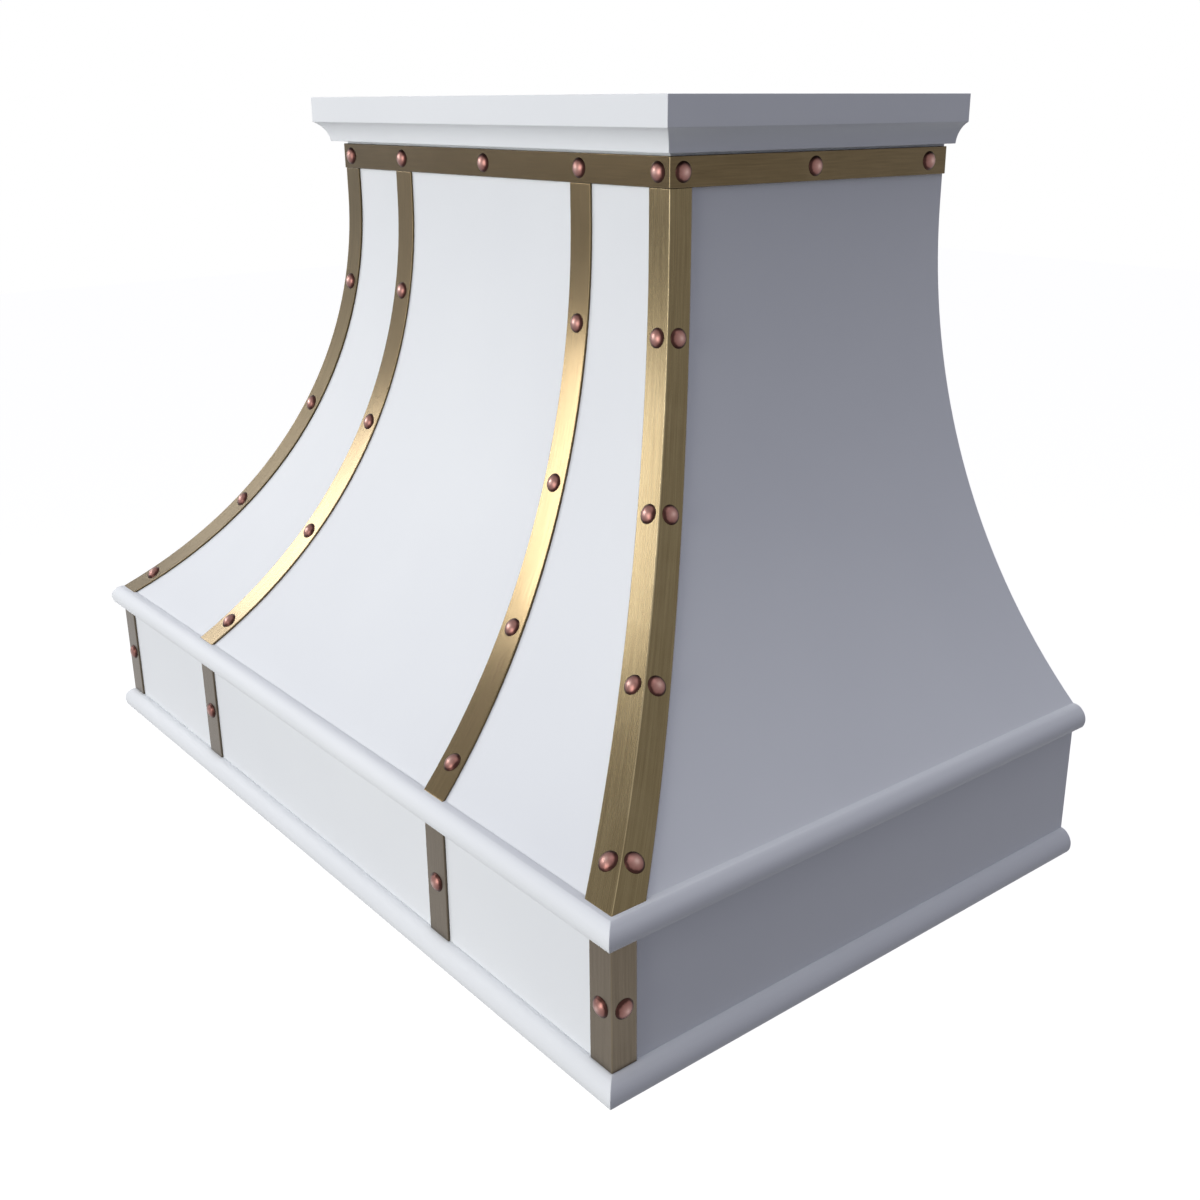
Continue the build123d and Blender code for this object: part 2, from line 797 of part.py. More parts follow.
# Top panel: a tray set below the crown, which carries the hanging rail and the duct collar
tray_half = half_body - sheet
tray_front = -(body_depth - sheet)
grommet_radius = cable_bore + grommet_wall
cable_place = (cable_x, cable_y)
with BuildPart() as top_panel:
    cuboid(both_ways(tray_half), (tray_front, -top_rear_gap), (top_panel_level, tray_top + top_flange))
    cuboid(
        both_ways(tray_half - sheet),
        (tray_front + sheet, -top_rear_gap - sheet),
        (tray_top, tray_top + top_flange),
        mode=Mode.SUBTRACT,
    )
    cuboid(both_ways(tray_half - sheet), (rail_y, -top_rear_gap), (top_panel_level, rail_top))
    drum(collar_radius + duct_hole_gap, top_panel_level, tray_top, (0, duct_centre), mode=Mode.SUBTRACT)
    drum(grommet_radius + grommet_gap, top_panel_level, tray_top, cable_place, mode=Mode.SUBTRACT)
    drill_screws(rail_screws)
    drill_screws(flange_screws)
write("top_panel", top_panel.part)

# Duct collar with the backdraft damper's stops
bore_radius = collar_radius - collar_wall
flap_radius = bore_radius - flap_clearance
knuckle_radius = hinge_rod_radius + hinge_clearance + knuckle_wall
flap_low = hinge_level - knuckle_radius
stop_top = flap_low - stop_gap
rod_half = collar_radius - hinge_clearance
knuckle_span = 2 * (flap_radius - knuckle_inset) / knuckle_count
with BuildPart() as duct_collar:
    drum(collar_radius, collar_low, collar_high, (0, duct_centre))
    drum(collar_radius + collar_flange, tray_top, collar_flange_top, (0, duct_centre))
    drum(collar_radius + collar_bead_reach, tray_top, collar_flange_top + collar_bead, (0, duct_centre))
    drum(bore_radius, collar_low, collar_high, (0, duct_centre), mode=Mode.SUBTRACT)
    for side in (-1, 1):
        stop_span = sorted((side * (bore_radius + collar_wall / 2), side * (bore_radius - stop_length)))
        stop_y = (duct_centre - stop_width / 2, duct_centre + stop_width / 2)
        cuboid(stop_span, stop_y, (stop_top - stop_height, stop_top))
    rod_ends = [(0, duct_centre + side * (collar_radius + 1), hinge_level) for side in (-1, 1)]
    rod(hinge_rod_radius + hinge_clearance, *rod_ends, mode=Mode.SUBTRACT)
    drill_screws(flange_screws)
write("duct_collar", duct_collar.part)

with BuildPart() as damper_pin:
    rod(hinge_rod_radius, *[(0, duct_centre + side * rod_half, hinge_level) for side in (-1, 1)])
write("damper_pin", damper_pin.part)


def damper_flap(side, first_knuckle):
    """Half disc with two knuckles round the rod, its free edge lying over a stop."""
    inner_edge = knuckle_radius + flap_edge_gap
    with BuildPart() as flap:
        with BuildSketch(Plane.XY.offset(flap_low)):
            with Locations((0, duct_centre)):
                Circle(flap_radius)
            with Locations((side * inner_edge, duct_centre)):
                Rectangle(
                    2 * flap_radius,
                    2 * collar_radius,
                    align=(Align.MAX if side > 0 else Align.MIN, Align.CENTER),
                    mode=Mode.SUBTRACT,
                )
        extrude(amount=flap_wall)
        for i in range(first_knuckle, knuckle_count, 2):
            start = duct_centre + (i - knuckle_count / 2) * knuckle_span + knuckle_gap / 2
            end = start + knuckle_span - knuckle_gap
            ends = [(0, start, hinge_level), (0, end, hinge_level)]
            rod(knuckle_radius, *ends)
            cuboid(sorted((0, side * (inner_edge + 1))), (start, end), (flap_low, flap_low + flap_wall))
            rod(hinge_rod_radius + hinge_clearance, *ends, mode=Mode.SUBTRACT)
    return flap.part


write("damper_flap_right", damper_flap(1, 0))
write("damper_flap_left", damper_flap(-1, 1))

# Duct pipe between the blower's outlet and the collar, its upper end inside the collar's tail
pipe_radius = bore_radius - pipe_clearance
pipe_bore = pipe_radius - pipe_wall
pipe_low = adapter_high + adapter_bead
with BuildPart() as duct_pipe:
    drum(pipe_radius, pipe_low, pipe_high, (0, duct_centre))
    drum(pipe_bore, pipe_low, pipe_high, (0, duct_centre), mode=Mode.SUBTRACT)
write("duct_pipe", duct_pipe.part)

# Outlet adapter: from the blower's oblong outlet to the round pipe
outlet_centre = (0, duct_centre)
outlet_size = (2 * scroll_half_width, outlet_rear - outlet_front)
spigot_radius = pipe_bore - pipe_clearance


def adapter_body(out):
    """Solid from the outlet's rectangle to the spigot's circle, grown outwards."""
    with BuildPart() as body:
        with BuildSketch(Plane.XY.offset(box_high)):
            with Locations(outlet_centre):
                Rectangle(outlet_size[0] + 2 * out, outlet_size[1] + 2 * out)
        with BuildSketch(Plane.XY.offset(adapter_high)):
            with Locations(outlet_centre):
                Circle(spigot_radius - duct_sheet + out)
        loft()
        drum(spigot_radius - duct_sheet + out, adapter_high, adapter_high + adapter_spigot, (0, duct_centre))
    return body.part


with BuildPart() as outlet_adapter:
    add(adapter_body(duct_sheet))
    with BuildSketch(Plane.XY.offset(box_high)):
        with Locations(outlet_centre):
            Rectangle(outlet_size[0] + 2 * adapter_flange, outlet_size[1] + 2 * adapter_flange)
    extrude(amount=sheet)
    drum(spigot_radius + adapter_bead, adapter_high, adapter_high + adapter_bead, (0, duct_centre))
    add(adapter_body(0), mode=Mode.SUBTRACT)
write("outlet_adapter", outlet_adapter.part)

# Blower box, open below, with an inward lip to bolt it to the plenum
with BuildPart() as blower_box:
    cuboid(both_ways(box_half), (box_front, box_rear), (box_low, box_high))
    cuboid(
        both_ways(box_half - duct_sheet),
        (box_front + duct_sheet, box_rear - duct_sheet),
        (box_low + duct_sheet, box_high - duct_sheet),
        mode=Mode.SUBTRACT,
    )
    neck_inset = duct_sheet + duct_lip
    cuboid(
        both_ways(box_half - neck_inset),
        (box_front + neck_inset, box_rear - neck_inset),
        (box_low, box_low + duct_sheet),
        mode=Mode.SUBTRACT,
    )
    cuboid(
        both_ways(scroll_half_width),
        (outlet_front, outlet_rear),
        (box_high - duct_sheet, box_high),
        mode=Mode.SUBTRACT,
    )
    drill_screws(neck_screws)
write("blower_box", blower_box.part)

# Scroll: a spiral wrap round the fan that opens into a straight throat
FAN = Plane(origin=(0, fan_y, fan_z), x_dir=(0, 1, 0), z_dir=(1, 0, 0))
throat_top = box_high - duct_sheet - fan_z
tongue_angle = acos(tongue_offset / tongue_radius)


def scroll_point(angle, out):
    share = (angle - tongue_angle) / (2 * pi - tongue_angle)
    radius = tongue_radius + (scroll_radius - tongue_radius) * share + out
    return (radius * cos(angle), radius * sin(angle))


def scroll_outline(out):
    """Air space of the scroll and its throat, grown outwards."""
    start = acos((tongue_offset - out) / (tongue_radius + out))
    steps = 16
    angles = [start + (2 * pi - start) * i / steps for i in range(steps + 1)]
    with BuildSketch() as outline:
        with BuildLine():
            spiral = Spline(*[scroll_point(angle, out) for angle in angles])
            tongue = spiral @ 0
            side = spiral @ 1
            Polyline(tongue, (tongue.X, throat_top), (side.X, throat_top), side)
        make_face()
    return outline.sketch


with BuildPart() as blower_scroll:
    with BuildSketch(FAN):
        add(scroll_outline(duct_sheet))
        add(scroll_outline(0), mode=Mode.SUBTRACT)
    extrude(amount=scroll_half_width, both=True)
write("blower_scroll", blower_scroll.part)

with BuildPart() as blower_side_plates:
    for side in (-1, 1):
        near = side * scroll_half_width
        far = side * (scroll_half_width + duct_sheet)
        lip = side * (scroll_half_width + duct_sheet + inlet_lip)
        with BuildSketch(FAN.offset(min(near, far))):
            add(scroll_outline(duct_sheet))
        extrude(amount=duct_sheet)
        rod(inlet_radius + duct_sheet, (near, fan_y, fan_z), (lip, fan_y, fan_z))
        rod(inlet_radius, (near, fan_y, fan_z), (lip, fan_y, fan_z), mode=Mode.SUBTRACT)
write("blower_side_plates", blower_side_plates.part)


def blade_edge(shift):
    """Three points along one face of a forward-curved blade."""
    points = []
    for share in (0, 0.5, 1):
        radius = fan_radius - blade_depth * (1 - share)
        angle = blade_lean * share**2 + shift / radius
        points.append((radius * cos(angle), radius * sin(angle)))
    return points


with BuildSketch() as blade:
    with BuildLine():
        front_face = ThreePointArc(*blade_edge(blade_wall / 2))
        back_face = ThreePointArc(*blade_edge(-blade_wall / 2))
        Line(front_face @ 0, back_face @ 0)
        Line(front_face @ 1, back_face @ 1)
    make_face()

# Impeller: two rows of blades on a middle plate, held by a ring at each end
with BuildPart() as impeller:
    with BuildSketch(FAN):
        with PolarLocations(0, blade_count):
            add(blade.sketch)
    extrude(amount=fan_half_width, both=True)
    with BuildSketch(FAN):
        Circle(fan_radius)
    extrude(amount=fan_plate / 2, both=True)
    with BuildSketch(FAN):
        Circle(hub_radius)
    extrude(amount=hub_length / 2, both=True)
    for start in (-fan_half_width, fan_half_width - fan_ring_wall):
        with BuildSketch(FAN.offset(start)):
            Circle(fan_radius)
            Circle(fan_radius - fan_ring_depth, mode=Mode.SUBTRACT)
        extrude(amount=fan_ring_wall)
    with BuildSketch(FAN):
        Circle(shaft_radius)
    extrude(amount=hub_length / 2, both=True, mode=Mode.SUBTRACT)
write("impeller", impeller.part)


def along_fan(radius, near, far, mode=Mode.ADD):
    """Cylinder on the fan's axis between two distances from the middle."""
    rod(radius, (near, fan_y, fan_z), (far, fan_y, fan_z), mode=mode)


rotor_near = motor_near - (motor_length - rotor_length) / 2
with BuildPart() as motor_shaft:
    along_fan(shaft_radius, motor_far - motor_end_wall, hub_length / 2 + shaft_end_gap)
    along_fan(rotor_radius, rotor_near - rotor_length, rotor_near)
write("motor_shaft", motor_shaft.part)

with BuildPart() as motor_casing:
    along_fan(motor_radius, motor_far, motor_near)
    along_fan(
        motor_radius - motor_wall, motor_far + motor_end_wall, motor_near - motor_end_wall, mode=Mode.SUBTRACT
    )
    along_fan(shaft_radius + bearing_clearance, motor_far - 1, motor_near + 1, mode=Mode.SUBTRACT)
write("motor_casing", motor_casing.part)

# Motor bracket: a clamp ring with three arms to the side plate
plate_face = -(scroll_half_width + duct_sheet)
clamp_near = motor_near - bracket_band
arm_reach = inlet_radius + arm_width
with BuildPart() as motor_bracket:
    along_fan(motor_radius + motor_wall, clamp_near - bracket_band, clamp_near)
    for angle in (90, 210, 330):
        with Locations(Location(Plane(origin=(clamp_near, fan_y, fan_z), z_dir=(1, 0, 0), x_dir=(0, 1, 0)))):
            with PolarLocations(0, 1, start_angle=angle):
                with Locations((0, 0, -bracket_wall)):
                    Box(arm_reach, arm_width, bracket_wall, align=(Align.MIN, Align.CENTER, Align.MIN))
                with Locations((arm_reach - bracket_wall, 0, -bracket_wall)):
                    Box(
                        bracket_wall,
                        arm_width,
                        plate_face - clamp_near + bracket_wall,
                        align=(Align.MIN, Align.CENTER, Align.MIN),
                    )
    along_fan(motor_radius, clamp_near - bracket_band, clamp_near, mode=Mode.SUBTRACT)
write("motor_bracket", motor_bracket.part)

# Places of the filters, the opening above them and the grease trough behind them
deck_top = deck_level + liner_sheet
filter_top = deck_level + filter_height
filter_rear = filter_front + filter_depth
filter_places = [i * (filter_width + filter_gap) for i in (-1, 0, 1)]
opening_half = filter_places[-1] + filter_width / 2 + filter_gap
opening_front = filter_front - filter_front_gap
opening_rear = filter_rear + filter_gap
pivot_y = filter_rear - pivot_inset
pivot_z = deck_level + filter_height / 2
trough_front = opening_rear + trough_gap
trough_rear = trough_front + trough_depth
trough_top = deck_top + trough_height
drain_place = (0, (trough_front + trough_rear) / 2)
tab_rear = trough_rear + tab_wall + tab_foot

# Plenum: gathers the air over the filters and leads it up to the blower box
plenum_half = opening_half + plenum_margin
plenum_front = opening_front - plenum_margin - liner_gap
plenum_rear = tab_rear + tab_wall
plenum_knee = deck_top + plenum_collar


def plenum_body(inset):
    """Collar and funnel as a solid, each wall moved in."""
    with BuildPart() as body:
        width = 2 * (plenum_half - inset)
        low_sides = (plenum_front + inset, plenum_rear - inset)
        high_sides = (box_front + inset, box_rear - inset)
        cuboid(both_ways(plenum_half - inset), low_sides, (deck_top, plenum_knee))
        with BuildSketch(Plane.XY.offset(plenum_knee)):
            with Locations((0, sum(low_sides) / 2)):
                Rectangle(width, low_sides[1] - low_sides[0])
        with BuildSketch(Plane.XY.offset(box_low)):
            with Locations((0, sum(high_sides) / 2)):
                Rectangle(2 * (box_half - inset), high_sides[1] - high_sides[0])
        loft(ruled=True)
    return body.part


with BuildPart() as plenum:
    add(plenum_body(0))
    add(plenum_body(duct_sheet), mode=Mode.SUBTRACT)
    cuboid(both_ways(box_half), (box_front, box_rear), (box_low - duct_sheet, box_low))
    cuboid(
        both_ways(box_half - neck_inset),
        (box_front + neck_inset, box_rear - neck_inset),
        (box_low - duct_sheet, box_low),
        mode=Mode.SUBTRACT,
    )
    drill_screws(neck_screws)
write("plenum", plenum.part)

# Liner: a pan with a rim under the apron's return, a deck for the filters, lamps and controls
skirt_half = half_apron - skirt_inset
skirt_span = both_ways(skirt_half)
skirt_depth = (skirt_inset - apron_depth, -skirt_rear)
lamp_spots = [(side * x, y) for x, y in lamp_places for side in (-1, 1)]
switch_half = switch_width / 2 + switch_hole_gap
switch_hole_half = (switch_depth + switch_hole_gap) / 2
switch_sides = (panel_y - switch_hole_half, panel_y + switch_hole_half)
with BuildPart() as liner:
    cuboid(both_ways(rim_half), (rim_front, rim_rear), (liner_level, return_level))
    cuboid(
        both_ways(skirt_half + liner_sheet),
        (skirt_depth[0] - liner_sheet, skirt_depth[1] + liner_sheet),
        (liner_level, deck_top),
    )
    cuboid(skirt_span, skirt_depth, (liner_level, deck_level), mode=Mode.SUBTRACT)
    cuboid(both_ways(opening_half), (opening_front, opening_rear), (deck_level, deck_top), mode=Mode.SUBTRACT)
    for side in (-1, 1):
        lip_span = sorted((side * opening_half, side * (opening_half + liner_sheet)))
        cuboid(lip_span, (opening_front, opening_rear), (deck_level, deck_top + upstand))
    for spot in lamp_spots:
        drum(lamp_radius + lamp_hole_gap, deck_level, deck_top, spot, mode=Mode.SUBTRACT)
    cuboid(both_ways(switch_half), switch_sides, (deck_level, deck_top), mode=Mode.SUBTRACT)
    drum(drain_radius, deck_level, deck_top, drain_place, mode=Mode.SUBTRACT)
    drill_screws(rim_screws)
write("liner", liner.part)

# Grease trough behind the filters, draining through the deck into the cup
with BuildPart() as grease_trough:
    cuboid(both_ways(opening_half - filter_gap + 1), (trough_front, trough_rear), (deck_top, trough_top))
    cuboid(
        both_ways(opening_half - filter_gap),
        (trough_front + liner_sheet, trough_rear - liner_sheet),
        (deck_top + liner_sheet, trough_top),
        mode=Mode.SUBTRACT,
    )
    drum(drain_radius, deck_top, trough_top, drain_place, mode=Mode.SUBTRACT)
write("grease_trough", grease_trough.part)

cup_front = opening_rear + cup_front_gap
cup_rear = cup_front + cup_depth
cup_top = deck_level - cup_drop
cup_low = cup_top - cup_height
with BuildPart() as grease_cup:
    cuboid(both_ways(cup_length / 2), (cup_front, cup_rear), (cup_low, cup_top))
    cuboid(both_ways(cup_length / 2), (cup_front - cup_rim, cup_rear + cup_rim), (cup_top - cup_wall, cup_top))
    cuboid(
        both_ways(cup_length / 2 - cup_wall),
        (cup_front + cup_wall, cup_rear - cup_wall),
        (cup_low + cup_wall, cup_top),
        mode=Mode.SUBTRACT,
    )
    pull_middle = (cup_front + cup_rear) / 2
    cuboid(
        (cup_length / 2, cup_length / 2 + pull_length),
        (pull_middle - pull_width / 2, pull_middle + pull_width / 2),
        (cup_top - cup_wall, cup_top),
    )
write("grease_cup", grease_cup.part)

# Rails that carry the cup's rim, hung from the deck
ledge_top = cup_top - cup_wall - cup_lift
ledge_low = ledge_top - cup_wall
rail_half = cup_length / 2 + rail_overhang
with BuildPart() as grease_cup_rails:
    for side, cup_face in ((-1, cup_front), (1, cup_rear)):
        wall = cup_face + side * (cup_rim + cup_clearance)
        outer = wall + side * cup_wall
        ledge = cup_face + side * cup_clearance
        foot = outer - side * rail_front_foot if side < 0 else outer + side * rail_foot
        cuboid(both_ways(rail_half), sorted((wall, outer)), (ledge_low, deck_level))
        cuboid(both_ways(rail_half), sorted((ledge, outer)), (ledge_low, ledge_top))
        cuboid(both_ways(rail_half), sorted((outer, foot)), (deck_level - cup_wall, deck_level))
write("grease_cup_rails", grease_cup_rails.part)

# Pivot tabs: stand on the deck behind the trough and reach over it to the filters' pins
tab_front = pivot_y - tab_margin
tab_step = opening_rear - liner_gap - liner_sheet
tab_bridge = trough_top + liner_gap + liner_sheet
tab_low = pivot_z - pivot_inset
tab_places = [opening_half - tab_wall, filter_places[-1] - (filter_width + filter_gap) / 2]
with BuildPart() as filter_pivot_brackets:
    for x in [side * place for side in (-1, 1) for place in tab_places]:
        with BuildSketch(Plane(origin=(x + tab_wall / 2, 0, 0), x_dir=(0, -1, 0), z_dir=(-1, 0, 0))):
            with BuildLine():
                Polyline(
                    (-tab_front, tab_low),
                    (-tab_step, tab_low),
                    (-tab_step, tab_bridge),
                    (-trough_rear - tab_wall, tab_bridge),
                    (-trough_rear - tab_wall, deck_top),
                    (-tab_rear, deck_top),
                    (-tab_rear, deck_top + tab_height),
                    (-tab_front, deck_top + tab_height),
                    close=True,
                )
            make_face()
        extrude(amount=tab_wall)
    reach_of_pins = both_ways(opening_half)
    ends = [(x, pivot_y, pivot_z) for x in reach_of_pins]
    rod(pivot_radius + pivot_clearance, *ends, mode=Mode.SUBTRACT)
write("filter_pivot_brackets", filter_pivot_brackets.part)


def filter_frame(centre):
    """Channel round four sides with its lips inwards and a pivot pin near the rear of each end."""
    half = filter_width / 2
    with BuildPart() as frame:
        cuboid((centre - half, centre + half), (filter_front, filter_rear), (deck_level, filter_top))
        cuboid(
            (centre - half + filter_sheet, centre + half - filter_sheet),
            (filter_front + filter_sheet, filter_rear - filter_sheet),
            (deck_level + filter_sheet, filter_top - filter_sheet),
            mode=Mode.SUBTRACT,
        )
        cuboid(
            (centre - half + filter_lip, centre + half - filter_lip),
            (filter_front + filter_lip, filter_rear - filter_lip),
            (deck_level, filter_top),
            mode=Mode.SUBTRACT,
        )
        for side in (-1, 1):
            root = centre + side * (half - filter_sheet)
            tip = centre + side * (half + pivot_length)
            rod(pivot_radius, (root, pivot_y, pivot_z), (tip, pivot_y, pivot_z))
    return frame.part


def baffle_face(opens_up):
    """Section of one baffle, a flat channel, standing on the line it rests against."""
    with BuildSketch() as face:
        Rectangle(baffle_width, baffle_height, align=(Align.CENTER, Align.MIN))
        with Locations((0, baffle_sheet if opens_up else 0)):
            Rectangle(
                baffle_width - 2 * baffle_sheet,
                baffle_height - baffle_sheet,
                align=(Align.CENTER, Align.MIN),
                mode=Mode.SUBTRACT,
            )
    return face.sketch


def filter_baffles(centre):
    """Two interleaved rows: channels that open up below, channels that open down above."""
    end_gap = filter_sheet + baffle_end_gap
    length = filter_depth - 2 * end_gap
    pitch = (filter_width - 2 * (filter_sheet + baffle_side_gap) - baffle_width) / (baffle_count - 1)
    low = deck_level + filter_sheet
    high = filter_top - filter_sheet - baffle_height
    with BuildPart() as baffles:
        for row, count, level in ((True, baffle_count, low), (False, baffle_count - 1, high)):
            with BuildSketch(Plane.XZ.offset(-(filter_rear - end_gap))):
                with Locations(*[(centre + (i - (count - 1) / 2) * pitch, level) for i in range(count)]):
                    add(baffle_face(row))
            extrude(amount=length)
    return baffles.part


def filter_handle(centre):
    """Wire bail under the front of the frame."""
    half = handle_span / 2
    y = filter_front + handle_inset
    low = deck_level - handle_drop
    with BuildPart() as handle:
        with BuildLine() as bail:
            FilletPolyline(
                (centre - half, y, deck_level),
                (centre - half, y, low),
                (centre + half, y, low),
                (centre + half, y, deck_level),
                radius=handle_bend,
            )
        with BuildSketch(Plane(origin=(centre - half, y, deck_level), z_dir=DOWN)):
            Circle(handle_wire)
        sweep(path=bail.wire())
    return handle.part


for name, centre in zip(filter_names, filter_places):
    write(f"filter_frame_{name}", filter_frame(centre))
    write(f"filter_baffles_{name}", filter_baffles(centre))
    write(f"filter_handle_{name}", filter_handle(centre))

# Lamps: a can through the deck with a flange below it and a lens against a ledge
lens_low = deck_level - lamp_flange_wall + lens_inset
lens_top = lens_low + lens_wall
with BuildPart() as lamp_housings:
    for spot in lamp_spots:
        drum(lamp_radius + lamp_flange, deck_level - lamp_flange_wall, deck_level, spot)
        drum(lamp_radius, deck_level, deck_level + lamp_height, spot)
        drum(lens_radius + lens_clearance, deck_level - lamp_flange_wall, lens_top, spot, mode=Mode.SUBTRACT)
        drum(lens_radius - lens_ledge, lens_top, deck_level + lamp_height - lamp_roof, spot, mode=Mode.SUBTRACT)
write("lamp_housings", lamp_housings.part)

with BuildPart() as lamp_lenses:
    for spot in lamp_spots:
        drum(lens_radius, lens_low, lens_top, spot)
write("lamp_lenses", lamp_lenses.part)

# Controls: a panel under the deck, four sprung buttons and the switch block above them
button_places = [(i - (len(button_names) - 1) / 2) * button_pitch for i in range(len(button_names))]
panel_low = deck_level - panel_wall
shoulder_wall = button_travel
stem_top = deck_level + shoulder_wall + stem_length
pocket_level = deck_level + shoulder_wall + button_travel + stem_clearance
panel_sides = (panel_y - panel_depth / 2, panel_y + panel_depth / 2)
with BuildPart() as control_panel:
    cuboid(both_ways(panel_width / 2), panel_sides, (panel_low, deck_level))
    for x in button_places:
        drum(button_radius + button_clearance, panel_low, deck_level, (x, panel_y), mode=Mode.SUBTRACT)
write("control_panel", control_panel.part)

for name, x in zip(button_names, button_places):
    with BuildPart() as button:
        drum(button_radius, panel_low - button_proud, deck_level, (x, panel_y))
        drum(button_radius + button_shoulder, deck_level, deck_level + shoulder_wall, (x, panel_y))
        drum(button_stem, deck_level, stem_top, (x, panel_y))
    write(f"button_{name}", button.part)

with BuildPart() as switch_block:
    block_sides = (panel_y - switch_depth / 2, panel_y + switch_depth / 2)
    cuboid(both_ways(switch_width / 2), block_sides, (deck_level, deck_level + switch_height))
    recess_sides = (block_sides[0] - 1, block_sides[1] + 1)
    recess_half = switch_width / 2 - switch_wall
    cuboid(both_ways(recess_half), recess_sides, (deck_level, pocket_level), mode=Mode.SUBTRACT)
    for x in button_places:
        pocket_top = stem_top + 2 * button_travel
        drum(button_stem + stem_clearance, pocket_level, pocket_top, (x, panel_y), mode=Mode.SUBTRACT)
write("switch_block", switch_block.part)

# Supply: a junction box under the top panel, its cover, and the grommet the cable comes through
box_sides = (cable_x - junction_width / 2, cable_x + junction_width / 2)
box_ends = (cable_y - junction_depth / 2, cable_y + junction_depth / 2)
junction_low = top_panel_level - junction_height
with BuildPart() as junction_box:
    cuboid(box_sides, box_ends, (junction_low, top_panel_level))
    cuboid(
        (box_sides[0] + junction_wall, box_sides[1] - junction_wall),
        (box_ends[0] + junction_wall, box_ends[1] - junction_wall),
        (junction_low, top_panel_level - junction_wall),
        mode=Mode.SUBTRACT,
    )
    for edge, inwards in ((box_sides[0], 1), (box_sides[1], -1)):
        lug_span = sorted((edge, edge + inwards * junction_lug))
        lug_depth = (cable_y - junction_lug / 2, cable_y + junction_lug / 2)
        cuboid(lug_span, lug_depth, (junction_low, junction_low + junction_wall))
    drum(grommet_radius + grommet_gap, junction_low, top_panel_level, cable_place, mode=Mode.SUBTRACT)
    drill_screws(cover_screws)
write("junction_box", junction_box.part)

with BuildPart() as junction_box_cover:
    cuboid(box_sides, box_ends, (cover_low, junction_low))
    drill_screws(cover_screws)
write("junction_box_cover", junction_box_cover.part)

inside_level = top_panel_level - junction_wall
with BuildPart() as cable_grommet:
    drum(grommet_radius, inside_level, tray_top, cable_place)
    for low, high in ((inside_level - grommet_lip, inside_level), (tray_top, tray_top + grommet_lip)):
        drum(grommet_radius + grommet_flange, low, high, cable_place)
    drum(cable_bore, inside_level - grommet_lip, tray_top + grommet_lip, cable_place, mode=Mode.SUBTRACT)
write("cable_grommet", cable_grommet.part)


def screw_solid(grip):
    """Pan-head screw, its head above the level and its shank through the metal below."""
    with BuildPart() as screw:
        drum(screw_head, 0, screw_head_height)
        chamfer(screw.edges().group_by(Axis.Z)[-1], screw_head_height / 3)
        drum(screw_radius, -grip - screw_tail, 0)
    return screw.part


screw_sets = (
    (rim_screws, liner_sheet + sheet),
    (rail_screws, sheet + rail_wall),
    (cover_screws, 2 * junction_wall),
    (neck_screws, 2 * duct_sheet),
    (flange_screws, 2 * sheet),
)
screws = [Location(spot) * screw_solid(grip) for spots, grip in screw_sets for spot in spots]
write("screws", Compound(children=screws))
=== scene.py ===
import json
from math import asin, atan, atan2, cos, hypot, pi, radians, sin, sqrt

import bmesh
import bpy
from mathutils import Matrix, Vector


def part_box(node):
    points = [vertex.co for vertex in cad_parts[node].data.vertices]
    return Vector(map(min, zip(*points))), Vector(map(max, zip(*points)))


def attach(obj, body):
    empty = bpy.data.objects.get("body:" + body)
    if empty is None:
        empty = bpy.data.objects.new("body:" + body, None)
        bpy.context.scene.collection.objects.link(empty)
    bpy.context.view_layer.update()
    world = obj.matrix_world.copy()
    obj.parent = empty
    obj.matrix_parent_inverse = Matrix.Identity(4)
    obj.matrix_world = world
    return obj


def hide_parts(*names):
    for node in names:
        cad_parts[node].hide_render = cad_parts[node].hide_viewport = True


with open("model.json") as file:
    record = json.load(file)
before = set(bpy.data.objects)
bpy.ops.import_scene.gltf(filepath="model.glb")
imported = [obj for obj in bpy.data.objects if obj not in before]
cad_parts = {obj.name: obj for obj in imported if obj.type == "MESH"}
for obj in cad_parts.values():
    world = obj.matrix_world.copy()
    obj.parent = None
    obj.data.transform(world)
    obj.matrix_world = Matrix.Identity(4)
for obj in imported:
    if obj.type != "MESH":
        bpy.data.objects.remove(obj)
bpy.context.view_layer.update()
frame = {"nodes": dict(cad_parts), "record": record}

# Sizes of the hood's outside in metres: the wall is at y = 0 and the lower edge at z = 0
MM = 0.001
SHEET = 1.5 * MM
RETURN = 25 * MM
BODY_HALF = 0.337
BODY_DEPTH = 0.445
APRON_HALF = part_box("apron")[1].x
APRON_DEPTH = -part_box("apron")[0].y
HOOD_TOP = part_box("crown")[1].z
FLARE_FOOT = 0.199
FLARE_TOP = 0.786
CROWN_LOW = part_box("crown")[0].z
CROWN_LIP = 17 * MM
CROWN_REACH = 34 * MM
CROWN_SAG = 4 * MM
CROWN_SAG_WAY = (-0.8, 0.6)
FASCIA = 32 * MM
NOSE_REACH = 16.2 * MM
NOSE_FOOT = 13.3 * MM
# Places on the moulding's curve, as shares of its reach and its rise
NOSE_BELLY = (1.0, 0.45)
NOSE_BROW = (0.65, 0.83)
NOSE_CREST = (0.36, 0.955)
STRAP_WALL = 3 * MM
STRAP_WIDTH = 36.5 * MM
STRAP_OFFSET = 0.1886
STRAP_SPREAD = 0.41
CORNER_FRONT_LEG = 33.5 * MM
CORNER_SIDE_LEG = 31.5 * MM
BAND_WALL = 4 * MM
BAND_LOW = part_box("brass_band")[0].z
BAND_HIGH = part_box("brass_band")[1].z
STRAP_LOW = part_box("front_strap_right")[0].z
RIVET_RADIUS = 11.1 * MM
RIVET_RISE = 5.5 * MM
RIVET_LIP = 0.25 * MM
RIVET_LIP_RISE = 0.55 * MM
RIVET_SHARES = (0.7516, 0.4677, 0.2290, 0.0379)
APRON_RIVET_LEVEL = 0.097
